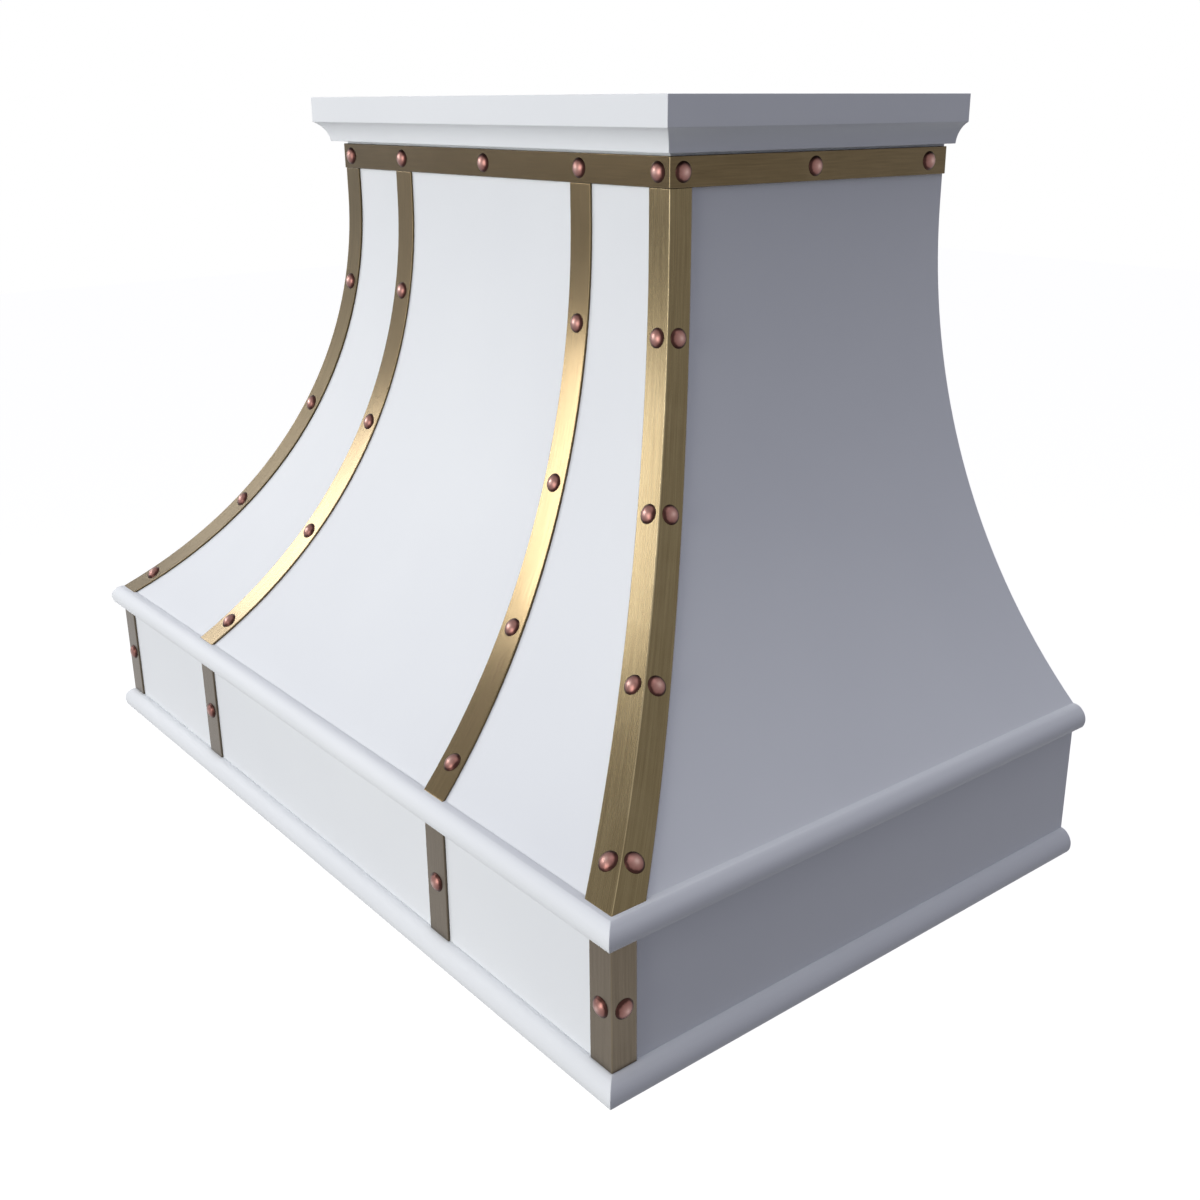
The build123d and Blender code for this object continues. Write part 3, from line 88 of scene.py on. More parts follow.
BAND_CORNER_INSET = 19 * MM
BAND_REAR_INSET = 32 * MM

# How finely curves are divided
LEVELS = 36
COVE_STEPS = 14
NOSE_STEPS = 14
BROW_STEPS = 8
DOME_STEPS = 12
DOME_TURNS = 40

# How wide the edges of each kind of metal are rounded
FITTING_EDGE = 0.25 * MM
SHEET_EDGE = 0.3 * MM
TRIM_EDGE = 0.7 * MM
BAND_EDGE = 0.8 * MM
BAR_EDGE = 0.9 * MM

# Settings of the Bevel modifier: arcs at the corners, or a width that nothing holds back
ARC_CORNERS = {"miter_outer": "MITER_ARC"}
FREE_WIDTH = {"use_clamp_overlap": False, "loop_slide": False}

# Points nearer than this are one point
MERGE = 0.01 * MM
MERGE_CAD = 0.005 * MM

# transform.rotate turns the other way when there is no window
TURN = -1


class Wall:
    """A wall that stands straight above FLARE_TOP and flares out in one arc below it."""

    def __init__(self, top, foot):
        run = foot - top
        self.top = top
        self.radius = (run**2 + (FLARE_TOP - FLARE_FOOT) ** 2) / (2 * run)

    def reach(self, z, out=0.0):
        drop = max(0.0, FLARE_TOP - z)
        if drop == 0.0:
            return self.top + out
        return self.top + self.radius - sqrt((self.radius - out) ** 2 - drop**2)

    def slope(self, z):
        drop = max(0.0, FLARE_TOP - z)
        return drop / sqrt(self.radius**2 - drop**2)

    def length(self, z):
        """Length of metal from FLARE_TOP down to a level, negative above it."""
        if z >= FLARE_TOP:
            return FLARE_TOP - z
        return self.radius * asin((FLARE_TOP - z) / self.radius)


FRONT = Wall(BODY_DEPTH, APRON_DEPTH)
SIDE = Wall(BODY_HALF, APRON_HALF)


# Modelling by hand: a point is drawn into a chain, and chains are pulled into walls


def begin(name):
    """A new piece that is one point at the origin, in edit mode."""
    bpy.ops.object.select_all(action="DESELECT")
    bpy.ops.mesh.primitive_plane_add(size=MM)
    piece = bpy.context.object
    piece.name = name
    piece.data.name = name
    bpy.ops.object.mode_set(mode="EDIT")
    bpy.ops.mesh.select_mode(type="VERT")
    bpy.ops.mesh.select_all(action="SELECT")
    bpy.ops.mesh.merge(type="CENTER")
    return piece


def draw(points):
    """Takes the point to the first place and draws edges through the others, then selects the chain."""
    bpy.ops.transform.translate(value=points[0])
    for here, there in zip(points, points[1:]):
        step = Vector(there) - Vector(here)
        bpy.ops.mesh.extrude_vertices_move(TRANSFORM_OT_translate={"value": step})
    bpy.ops.mesh.select_all(action="SELECT")


def pull(step=(0, 0, 0), grow=(1, 1, 1), about=(0, 0, 0)):
    """Pulls the selected chain out into new faces, then widens it about a point."""
    bpy.ops.mesh.extrude_region_move(TRANSFORM_OT_translate={"value": step})
    bpy.ops.transform.resize(value=grow, center_override=about)


def face_out(piece, inner):
    """Makes every face look away from a point inside and leaves edit mode."""
    bpy.ops.mesh.select_all(action="SELECT")
    bpy.ops.mesh.remove_doubles(threshold=MERGE)
    bpy.ops.mesh.normals_make_consistent(inside=False)
    faces = bmesh.from_edit_mesh(piece.data).faces
    outward = sum(f.normal.dot(f.calc_center_median() - Vector(inner)) * f.calc_area() for f in faces)
    if outward < 0:
        bpy.ops.mesh.flip_normals()
    bpy.ops.object.mode_set(mode="OBJECT")


def pick(piece):
    bpy.ops.object.select_all(action="DESELECT")
    piece.select_set(True)
    bpy.context.view_layer.objects.active = piece


def apply(piece, kind, **settings):
    """Adds a modifier and applies it."""
    pick(piece)
    modifier = piece.modifiers.new(kind.lower(), kind)
    for key, value in settings.items():
        setattr(modifier, key, value)
    bpy.ops.object.modifier_apply(modifier=modifier.name)


def thicken(piece, wall):
    """Gives a shell its thickness on the inside."""
    apply(piece, "SOLIDIFY", thickness=wall, offset=-1, use_even_offset=True)


def cut_level(piece, z):
    """Cuts off what the thickness has brought below a level."""
    pick(piece)
    bpy.ops.object.mode_set(mode="EDIT")
    bpy.ops.mesh.select_all(action="SELECT")
    bpy.ops.mesh.bisect(
        plane_co=(0, 0, z), plane_no=(0, 0, 1), clear_inner=True, use_fill=True, threshold=0.1 * MERGE
    )
    bpy.ops.object.mode_set(mode="OBJECT")


def smooth(piece, angle=35):
    """Shades round surfaces smooth and keeps flat ones flat beside them."""
    pick(piece)
    bpy.ops.object.shade_smooth_by_angle(angle=radians(angle))
    apply(piece, "WEIGHTED_NORMAL", keep_sharp=True)


def soften(piece, width, segments=3, corners=ARC_CORNERS, angle=30):
    """Rounds the edges that turn by more than an angle."""
    limit = {"limit_method": "ANGLE", "angle_limit": radians(angle)}
    apply(piece, "BEVEL", width=width, segments=segments, **limit, **corners)
    smooth(piece)


def mirrored(piece, name):
    """The same piece for the other side of the hood, with a mesh of its own."""
    pick(piece)
    bpy.ops.object.duplicate(linked=False)
    other = bpy.context.object
    other.name = name
    other.data.name = name
    bpy.ops.object.mode_set(mode="EDIT")
    bpy.ops.mesh.select_all(action="SELECT")
    bpy.ops.transform.resize(value=(-1, 1, 1), center_override=(0, 0, 0))
    bpy.ops.mesh.flip_normals()
    bpy.ops.object.mode_set(mode="OBJECT")
    smooth(other)
    return other


def arc(start, middle, end, steps):
    """Points on the circle through three points, from the second place of the arc to its end."""
    (ax, ay), (bx, by), (cx, cy) = start, middle, end
    d = 2 * (ax * (by - cy) + bx * (cy - ay) + cx * (ay - by))
    a, b, c = hypot(ax, ay) ** 2, hypot(bx, by) ** 2, hypot(cx, cy) ** 2
    x = (a * (by - cy) + b * (cy - ay) + c * (ay - by)) / d
    y = (a * (cx - bx) + b * (ax - cx) + c * (bx - ax)) / d
    radius = hypot(ax - x, ay - y)
    angles = [atan2(py - y, px - x) for px, py in (start, middle, end)]
    turn = sum((later - first + pi) % (2 * pi) - pi for first, later in zip(angles, angles[1:]))
    turns = [angles[0] + turn * i / steps for i in range(1, steps + 1)]
    return [(x + radius * cos(angle), y + radius * sin(angle)) for angle in turns]


def wrap(name, profile, half, depth):
    """Carries a profile of (reach, height) from the middle of the front round both corners to the wall."""
    piece = begin(name)
    draw([(0, -depth - u, z) for u, z in profile])
    pull((half, 0, 0))
    corner = (half, -depth, 0)
    bpy.ops.transform.rotate(value=TURN * pi / 4, orient_axis="Z", center_override=corner)
    bpy.ops.transform.resize(value=(sqrt(2), sqrt(2), 1), center_override=corner)
    pull(grow=(1, 0, 1))
    bpy.ops.object.mode_set(mode="OBJECT")
    apply(piece, "MIRROR", use_axis=(True, False, False), merge_threshold=MERGE)
    bpy.ops.object.mode_set(mode="EDIT")
    face_out(piece, (0, -depth / 2, sum(z for u, z in profile) / len(profile)))
    return piece


def levels(low, high):
    """Levels of a flared piece from its top down."""
    start = min(high, FLARE_TOP)
    bend = [start - (start - low) * i / LEVELS for i in range(LEVELS + 1)]
    return ([high] if high > FLARE_TOP else []) + bend


def lay_map(piece, place):
    """Maps every corner of every face to a place across and along the metal."""
    layer = piece.data.uv_layers.new(name="grain")
    for loop in piece.data.loops:
        layer.data[loop.index].uv = place(piece.data.vertices[loop.vertex_index].co)


def stand_for(piece, nodes, finish, body="root"):
    """Gives a piece its finish and puts it in the place of CAD nodes."""
    piece.data.materials.clear()
    piece.data.materials.append(finish)
    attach(piece, body)
    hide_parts(*nodes)


# Finishes


class Finish:
    """A material put together from named steps."""

    def __init__(self, name, **sockets):
        self.material = bpy.data.materials.new(name)
        self.material.use_nodes = True
        self.tree = self.material.node_tree
        self.shader = self.tree.nodes["Principled BSDF"]
        for socket, value in sockets.items():
            self.shader.inputs[socket.replace("_", " ")].default_value = value

    def node(self, kind, settings=None, **inputs):
        made = self.tree.nodes.new(kind)
        for key, value in (settings or {}).items():
            setattr(made, key, value)
        for key, value in inputs.items():
            self.feed(made, key.replace("_", " "), value)
        return made

    def feed(self, target, socket, value):
        if isinstance(value, bpy.types.NodeSocket):
            self.tree.links.new(value, target.inputs[socket])
        else:
            target.inputs[socket].default_value = value

    def place(self, stretch=(1, 1, 1), grain=False):
        """Coordinates on the object, or across and along its grain, stretched."""
        if grain:
            source = self.node("ShaderNodeUVMap", {"uv_map": "grain"}).outputs["UV"]
        else:
            source = self.node("ShaderNodeTexCoord").outputs["Object"]
        return self.node("ShaderNodeMapping", Vector=source, Scale=stretch).outputs["Vector"]

    def noise(self, vector, scale, detail=3.0, roughness=0.5):
        node = self.node("ShaderNodeTexNoise", Vector=vector, Scale=scale, Detail=detail, Roughness=roughness)
        return node.outputs["Fac"]

    def ramp(self, value, *stops):
        """Colours or greys at places from 0 to 1."""
        node = self.node("ShaderNodeValToRGB", Fac=value)
        elements = node.color_ramp.elements
        while len(elements) < len(stops):
            elements.new(0.5)
        for element, (place, colour) in zip(elements, stops):
            element.position = place
            element.color = (*colour, 1) if isinstance(colour, tuple) else (colour, colour, colour, 1)
        return node.outputs["Color"]

    def mix(self, share, first, second):
        """The first colour with a share of the second in it."""
        node = self.tree.nodes.new("ShaderNodeMix")
        node.data_type = "RGBA"
        for index, value in ((0, share), (6, first), (7, second)):
            if isinstance(value, bpy.types.NodeSocket):
                self.tree.links.new(value, node.inputs[index])
            else:
                node.inputs[index].default_value = (*value, 1) if isinstance(value, tuple) else value
        return node.outputs[2]

    def maths(self, operation, first, second=0.0):
        node = self.node("ShaderNodeMath", {"operation": operation})
        self.feed(node, 0, first)
        self.feed(node, 1, second)
        return node.outputs["Value"]

    def colour(self, value):
        self.feed(self.shader, "Base Color", value)

    def rough(self, value, low, high):
        """Roughness that runs from low to high with a pattern."""
        node = self.node("ShaderNodeMapRange", Value=value, To_Min=low, To_Max=high)
        self.feed(self.shader, "Roughness", node.outputs["Result"])

    def bump(self, height, distance):
        node = self.node("ShaderNodeBump", Height=height, Distance=distance)
        self.feed(self.shader, "Normal", node.outputs["Normal"])


def white_paint():
    """Satin white on sheet steel: a faint orange peel, and tone that drifts a little over the sheet."""
    paint = Finish("white_paint", Specular_IOR_Level=0.3)
    drift = paint.noise(paint.place(), 3.5, 2.0)
    paint.colour(paint.ramp(drift, (0.3, (0.74, 0.765, 0.785)), (0.7, (0.775, 0.80, 0.815))))
    peel = paint.noise(paint.place(), 420.0, 2.0)
    paint.rough(drift, 0.50, 0.58)
    paint.bump(peel, 0.04 * MM)
    return paint.material


def brass(name, dark, light, worn, sheen, fold=None):
    """Aged brass brushed along its length, with painted shade darkening it a little along its free edges.

    A fold is its place on the grain's map and the reach of a painted highlight along it, which fades out
    downwards.
    """
    metal = Finish(name, Metallic=1.0, Coat_Weight=0.12, Coat_Roughness=0.2)
    fine = metal.noise(metal.place((7, 0.10, 1), grain=True), 4.0, 5.0, 0.65)
    broad = metal.noise(metal.place((2.2, 0.06, 1), grain=True), 4.0, 3.0)
    patina = metal.noise(metal.place(), 16.0, 4.0, 0.6)
    tone = metal.ramp(metal.mix(0.5, fine, broad), (0.38, dark), (0.62, light))
    tone = metal.mix(metal.ramp(patina, (0.50, 0.0), (0.75, 0.35)), tone, worn)
    place = metal.node("ShaderNodeSeparateXYZ", Vector=metal.place(grain=True))
    across = metal.maths("ABSOLUTE", place.outputs["X"])
    # Painted shade: the metal is darkened towards its outer edges across the width, standing in for the
    # shaded side wall and its contact shadow.
    painted_edge_shade = metal.ramp(across, (0.94, 0.0), (0.99, 0.12))
    tone = metal.mix(painted_edge_shade, tone, tuple(0.4 * channel for channel in dark))
    # Painted highlight: a pale line along the fold, broken up by the patina noise and fading out downwards,
    # standing in for the light the bent edge catches.
    if fold is not None:
        line, reach = fold
        near = across if line == 0 else metal.maths("ABSOLUTE", place.outputs["Y"])
        near = metal.maths("ABSOLUTE", metal.maths("SUBTRACT", near, line))
        fold_highlight = metal.maths("MULTIPLY", metal.ramp(near, (0.4 * reach, 0.8), (reach, 0.0)), patina)
        height = metal.node("ShaderNodeSeparateXYZ", Vector=metal.place()).outputs["Z"]
        low, high = FOLD_HIGHLIGHT_FADE
        fold_highlight = metal.maths("MULTIPLY", fold_highlight, metal.ramp(height, (low, 0.15), (high, 1.0)))
        tone = metal.mix(fold_highlight, tone, FOLD_HIGHLIGHT_BRASS)
    metal.colour(tone)
    metal.rough(fine, *sheen)
    metal.bump(broad, 0.01 * MM)
    return metal.material


def copper():
    """Copper head: a painted highlight on top of the dome, and painted shade darkening it towards the rim
    where it meets the metal below.
    """
    metal = Finish("copper_rivet", Metallic=1.0)
    out = metal.node("ShaderNodeSeparateXYZ", Vector=metal.place(grain=True)).outputs["X"]
    stain = metal.noise(metal.place(), 160.0, 4.0, 0.6)
    # Painted highlight and shade: the colour runs from bright at the dome's middle to nearly black at its
    # rim, by distance from the middle.
    dome = (
        (0.18, (0.45, 0.290, 0.262)),
        (0.50, (0.285, 0.155, 0.137)),
        (0.86, (0.185, 0.086, 0.075)),
        (1.0, (0.045, 0.019, 0.016)),
    )
    metal.colour(metal.ramp(metal.maths("ADD", out, metal.maths("MULTIPLY", stain, 0.3)), *dome))
    metal.rough(stain, 0.34, 0.43)
    metal.bump(stain, 0.05 * MM)
    return metal.material


def galvanised():
    """Galvanised sheet with its zinc spangle."""
    metal = Finish("galvanised_sheet", Metallic=1.0)
    cells = metal.node("ShaderNodeTexVoronoi", Vector=metal.place(), Scale=85.0, Randomness=1.0)
    shade = metal.node("ShaderNodeSeparateColor", Color=cells.outputs["Color"]).outputs["Red"]
    cloud = metal.noise(metal.place(), 9.0, 4.0)
    spangle = metal.ramp(shade, (0.0, (0.36, 0.375, 0.39)), (1.0, (0.56, 0.575, 0.59)))
    metal.colour(metal.mix(metal.ramp(cloud, (0.35, 0.0), (0.75, 0.45)), spangle, (0.44, 0.45, 0.46)))
    metal.rough(shade, 0.30, 0.52)
    metal.bump(cells.outputs["Distance"], 0.03 * MM)
    return metal.material


def brushed(name, light, dark, stretch, low=0.22, high=0.38):
    """Sheet metal brushed one way."""
    metal = Finish(name, Metallic=1.0)
    streak = metal.noise(metal.place(stretch), 1.0, 5.0, 0.65)
    cloud = metal.noise(metal.place(), 7.0, 3.0)
    tone = metal.ramp(streak, (0.3, dark), (0.7, light))
    metal.colour(metal.mix(metal.ramp(cloud, (0.4, 0.0), (0.8, 0.35)), tone, dark))
    metal.rough(streak, low, high)
    metal.bump(streak, 0.02 * MM)
    return metal.material


def plated(name, light, dark):
    """Zinc plating: slightly uneven, with a dull bloom."""
    metal = Finish(name, Metallic=1.0)
    bloom = metal.noise(metal.place(), 60.0, 5.0, 0.6)
    metal.colour(metal.ramp(bloom, (0.35, dark), (0.65, light)))
    metal.rough(bloom, 0.28, 0.45)
    metal.bump(bloom, 0.03 * MM)
    return metal.material


def moulded(name, light, dark, low, high, grain, depth):
    """Enamel, plastic or rubber with a fine grain."""
    stuff = Finish(name)
    pebble = stuff.noise(stuff.place(), grain, 3.0)
    cloud = stuff.noise(stuff.place(), 14.0, 3.0)
    stuff.colour(stuff.ramp(cloud, (0.3, dark), (0.7, light)))
    stuff.rough(pebble, low, high)
    stuff.bump(pebble, depth)
    return stuff.material


def frosted_glass():
    """Glass with a fine frost."""
    glass = Finish("lamp_glass", Transmission_Weight=0.55, IOR=1.48)
    frost = glass.noise(glass.place(), 600.0, 3.0)
    glass.colour(glass.ramp(frost, (0.3, (0.86, 0.89, 0.89)), (0.7, (0.95, 0.96, 0.95))))
    glass.rough(frost, 0.32, 0.5)
    glass.bump(frost, 0.04 * MM)
    return glass.material


# Levels between which the painted highlight along a fold fades out downwards, in metres
FOLD_HIGHLIGHT_FADE = (0.24, 0.42)
FOLD_HIGHLIGHT_BRASS = (0.52, 0.43, 0.27)

# Places of the folds on the grain's map, and how far from there the painted highlight reaches
BAR_FOLD = (0.0, 0.045)
BAND_FOLD = ((BODY_HALF + 2 * BAND_WALL) / ((BAND_HIGH - BAND_LOW) / 2), 0.06)

STRAP_BRASS = brass(
    "brass_strap",
    dark=(0.112, 0.081, 0.040), light=(0.146, 0.107, 0.057), worn=(0.172, 0.131, 0.074), sheen=(0.16, 0.23),
)
CORNER_BRASS = brass(
    "brass_corner",
    dark=(0.114, 0.085, 0.043), light=(0.152, 0.118, 0.063), worn=(0.170, 0.135, 0.077), sheen=(0.235, 0.305),
    fold=BAR_FOLD,
)
# Painted shade: the corner brass with a darker colour for the left-hand strap, which is also rougher.
DULL_SHADED_BRASS = brass(
    "brass_corner_dull_shaded",
    dark=(0.072, 0.052, 0.026), light=(0.094, 0.071, 0.037), worn=(0.104, 0.080, 0.044), sheen=(0.32, 0.40),
    fold=BAR_FOLD,
)
BAND_BRASS = brass(
    "brass_band",
    dark=(0.074, 0.052, 0.025), light=(0.108, 0.077, 0.039), worn=(0.126, 0.093, 0.052), sheen=(0.15, 0.23),
    fold=BAND_FOLD,
)
APRON_TONES = {
    "dark": (0.100, 0.079, 0.054),
    "light": (0.134, 0.108, 0.078),
    "worn": (0.150, 0.123, 0.090),
    "sheen": (0.22, 0.30),
}
APRON_BRASS = brass("brass_apron", **APRON_TONES, fold=BAR_FOLD)
APRON_BAR_BRASS = brass("brass_apron_bar", **APRON_TONES)
STEEL_TONES = ((0.56, 0.56, 0.55), (0.40, 0.40, 0.40))
STEEL_ACROSS = brushed("stainless", *STEEL_TONES, (6, 900, 900))
STEEL_ALONG = brushed("stainless_along", *STEEL_TONES, (900, 6, 900))
FINISHES = {
    "white_paint": white_paint(),
    "brass_strap": STRAP_BRASS,
    "copper_rivet": copper(),
    "galvanised_sheet": galvanised(),
    "zinc_steel": plated("zinc_steel", (0.52, 0.53, 0.55), (0.36, 0.36, 0.37)),
    "stainless": STEEL_ACROSS,
    "aluminium_sheet": brushed("aluminium_sheet", (0.68, 0.69, 0.70), (0.52, 0.53, 0.54), (500, 8, 500)),
    "motor_enamel": moulded(
        "motor_enamel", (0.030, 0.034, 0.038), (0.018, 0.020, 0.023),
        low=0.28, high=0.42, grain=260.0, depth=0.05 * MM,
    ),
    "black_plastic": moulded(
        "black_plastic", (0.024, 0.024, 0.026), (0.014, 0.014, 0.015),
        low=0.42, high=0.6, grain=900.0, depth=0.05 * MM,
    ),
    "button_metal": brushed(
        "button_metal", (0.70, 0.70, 0.71), (0.55, 0.55, 0.56), (700, 30, 700), low=0.12, high=0.24
    ),
    "grommet_rubber": moulded(
        "grommet_rubber", (0.022, 0.022, 0.022), (0.012, 0.012, 0.012),
        low=0.55, high=0.75, grain=500.0, depth=0.06 * MM,
    ),
    "lamp_glass": frosted_glass(),
}
for subpart in frame["record"]["subparts"]:
    node = frame["nodes"][subpart["node"]]
    node.data.materials.clear()
    node.data.materials.append(FINISHES[subpart["material_slot"]])
FILTERS = ("left", "centre", "right")
for side in FILTERS:
    frame["nodes"][f"filter_baffles_{side}"].data.materials[0] = STEEL_ALONG


# Painted shell


def front_panel():
    """Front sheet, standing straight above and flaring out below."""
    piece = begin("front_panel")
    rows = levels(FLARE_FOOT, HOOD_TOP)
    half, depth = SIDE.reach(rows[0]), FRONT.reach(rows[0])
    draw([(-half, -depth, rows[0]), (half, -depth, rows[0])])
    for above, z in zip(rows, rows[1:]):
        step = (0, FRONT.reach(above) - FRONT.reach(z), z - above)
        pull(step, (SIDE.reach(z) / SIDE.reach(above), 1, 1))
    face_out(piece, (0, 0, FLARE_TOP))
    thicken(piece, SHEET)
    soften(piece, SHEET_EDGE, 2)
    return piece


def side_panel(name):
    """Right-hand panel with its return along the wall."""
    piece = begin(name)
    rows = levels(FLARE_FOOT, HOOD_TOP)
    half, depth = SIDE.reach(rows[0]), FRONT.reach(rows[0], -SHEET)
    draw([(half - RETURN, 0, rows[0]), (half, 0, rows[0]), (half, -depth, rows[0])])
    for above, z in zip(rows, rows[1:]):
        step = (SIDE.reach(z) - SIDE.reach(above), 0, z - above)
        pull(step, (1, FRONT.reach(z, -SHEET) / FRONT.reach(above, -SHEET), 1))
    face_out(piece, (0, -BODY_DEPTH / 2, FLARE_TOP))
    thicken(piece, SHEET)
    cut_level(piece, FLARE_FOOT)
    soften(piece, SHEET_EDGE, 2, FREE_WIDTH)
    return piece


def crown_trim():
    """Flat fascia over a hollow curve."""
    fascia = HOOD_TOP - FASCIA
    middle = ((CROWN_LIP + CROWN_REACH) / 2, (CROWN_LOW + fascia) / 2)
    bend = tuple(place + CROWN_SAG * way for place, way in zip(middle, CROWN_SAG_WAY))
    cove = arc((CROWN_LIP, CROWN_LOW), bend, (CROWN_REACH, fascia), COVE_STEPS)
    profile = [(0, CROWN_LOW), (CROWN_LIP, CROWN_LOW), *cove, (CROWN_REACH, HOOD_TOP), (0, HOOD_TOP)]
    piece = wrap("crown_trim", profile, BODY_HALF, BODY_DEPTH)
    thicken(piece, SHEET)
    soften(piece, TRIM_EDGE)
    return piece


def nosing(name, node, tuck):
    """Rounded moulding with a sharp lower edge, its top carried in by the tuck."""
    low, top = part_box(node)[0].z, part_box(node)[1].z
    belly, brow, crest = (
        (reach * NOSE_REACH, low + rise * (top - low)) for reach, rise in (NOSE_BELLY, NOSE_BROW, NOSE_CREST)
    )
    profile = [(0, low), (NOSE_FOOT, low)]
    profile += arc((NOSE_FOOT, low), belly, brow, NOSE_STEPS)
    profile += arc(brow, crest, (0, top), BROW_STEPS)
    if tuck:
        profile.append((-tuck, top))
    piece = wrap(name, profile, APRON_HALF, APRON_DEPTH)
    thicken(piece, SHEET)
    soften(piece, TRIM_EDGE)
    return piece


# Brass and copper


def strap_line(z):
    """Distance of a front strap's middle from the middle of the hood."""
    return STRAP_OFFSET + STRAP_SPREAD * (SIDE.reach(z) - BODY_HALF)


def strap_half(z):
    """Half of a front strap's level width, where it leans outwards."""
    lean = STRAP_SPREAD * SIDE.slope(z) / hypot(1, FRONT.slope(z))
    return STRAP_WIDTH / 2 / cos(atan(lean))


def front_bar(name):
    """Right-hand flat strap on the front, following the flare."""
    piece = begin(name)
    rows = levels(STRAP_LOW, BAND_LOW)
    middle, half, y = strap_line(rows[0]), strap_half(rows[0]), -FRONT.reach(rows[0], STRAP_WALL)
    draw([(middle - half, y, rows[0]), (middle + half, y, rows[0])])
    for above, z in zip(rows, rows[1:]):
        y = FRONT.reach(above, STRAP_WALL) - FRONT.reach(z, STRAP_WALL)
        step = (strap_line(z) - strap_line(above), y, z - above)
        pull(step, (strap_half(z) / strap_half(above), 1, 1), (strap_line(z), 0, 0))
    face_out(piece, (0, 0, FLARE_TOP))
    thicken(piece, STRAP_WALL)
    soften(piece, BAR_EDGE, 4)

    def place(point):
        half = STRAP_WIDTH / 2
        return (point.x - strap_line(point.z)) / half, FRONT.length(point.z) / half

    lay_map(piece, place)
    return piece


def level_width(width, wall, cross, z):
    """Level width of a leg that keeps its width square to the corner's edge."""
    return width / cos(atan(wall.slope(z) / hypot(1, cross.slope(z))))


def corner_bar(name):
    """Right-hand corner strap, folded to an L and following the corner's curve."""
    piece = begin(name)
    rows = levels(STRAP_LOW, BAND_LOW)

    def corner(z):
        return SIDE.reach(z, STRAP_WALL), -FRONT.reach(z, STRAP_WALL)

    def legs(z):
        return level_width(CORNER_FRONT_LEG, SIDE, FRONT, z), level_width(CORNER_SIDE_LEG, FRONT, SIDE, z)

    (x, y), (front, side) = corner(rows[0]), legs(rows[0])
    draw([(x - front, y, rows[0]), (x, y, rows[0]), (x, y + side, rows[0])])
    for above, z in zip(rows, rows[1:]):
        (x0, y0), (x1, y1) = corner(above), corner(z)
        grow = [new / old for new, old in zip(legs(z), legs(above))]
        pull((x1 - x0, y1 - y0, z - above), (*grow, 1), (x1, y1, z))
    face_out(piece, (0, 0, FLARE_TOP))
    thicken(piece, STRAP_WALL)
    soften(piece, BAR_EDGE, 4)

    def place(point):
        x, y = corner(point.z)
        front, side = legs(point.z)
        across = (point.y - y) / side - (x - point.x) / front
        return across, FRONT.length(point.z) / CORNER_FRONT_LEG

    lay_map(piece, place)
    return piece


def apron_angle(name):
    """Right-hand L on the apron's corner."""
    node = "apron_corner_strap_right"
    low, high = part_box(node)[0].z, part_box(node)[1].z
    x, y = APRON_HALF + STRAP_WALL, -APRON_DEPTH - STRAP_WALL
    piece = begin(name)
    draw([(x - CORNER_FRONT_LEG, y, high), (x, y, high), (x, y + CORNER_SIDE_LEG, high)])
    pull((0, 0, low - high))
    face_out(piece, (0, 0, (low + high) / 2))
    thicken(piece, STRAP_WALL)
    soften(piece, BAR_EDGE, 4)
    lay_map(
        piece,
        lambda p: ((p.y - y) / CORNER_SIDE_LEG - (x - p.x) / CORNER_FRONT_LEG, p.z / CORNER_FRONT_LEG),
    )
    return piece


def apron_bar(name):
    """Right-hand flat bar on the apron, under the front strap."""
    low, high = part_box("apron_straps")[0].z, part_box("apron_straps")[1].z
    middle, half, y = strap_line(FLARE_FOOT), STRAP_WIDTH / 2, -APRON_DEPTH - STRAP_WALL
    piece = begin(name)
    draw([(middle - half, y, high), (middle + half, y, high)])
    pull((0, 0, low - high))
    face_out(piece, (0, 0, (low + high) / 2))
    thicken(piece, STRAP_WALL)
    soften(piece, BAR_EDGE, 4)
    lay_map(piece, lambda p: ((p.x - middle) / half, p.z / half))
    return piece


def band_bar():
    """Bar folded round three sides over the ends of the straps."""
    piece = wrap("band_bar", [(BAND_WALL, BAND_LOW), (BAND_WALL, BAND_HIGH)], BODY_HALF, BODY_DEPTH)
    thicken(piece, BAND_WALL)
    soften(piece, BAND_EDGE, 4)
    middle, half = (BAND_LOW + BAND_HIGH) / 2, (BAND_HIGH - BAND_LOW) / 2

    def place(point):
        side = 1 if point.x > 0 else -1
        return (point.z - middle) / half, (point.x - side * (point.y + BODY_DEPTH)) / half

    lay_map(piece, place)
    return piece


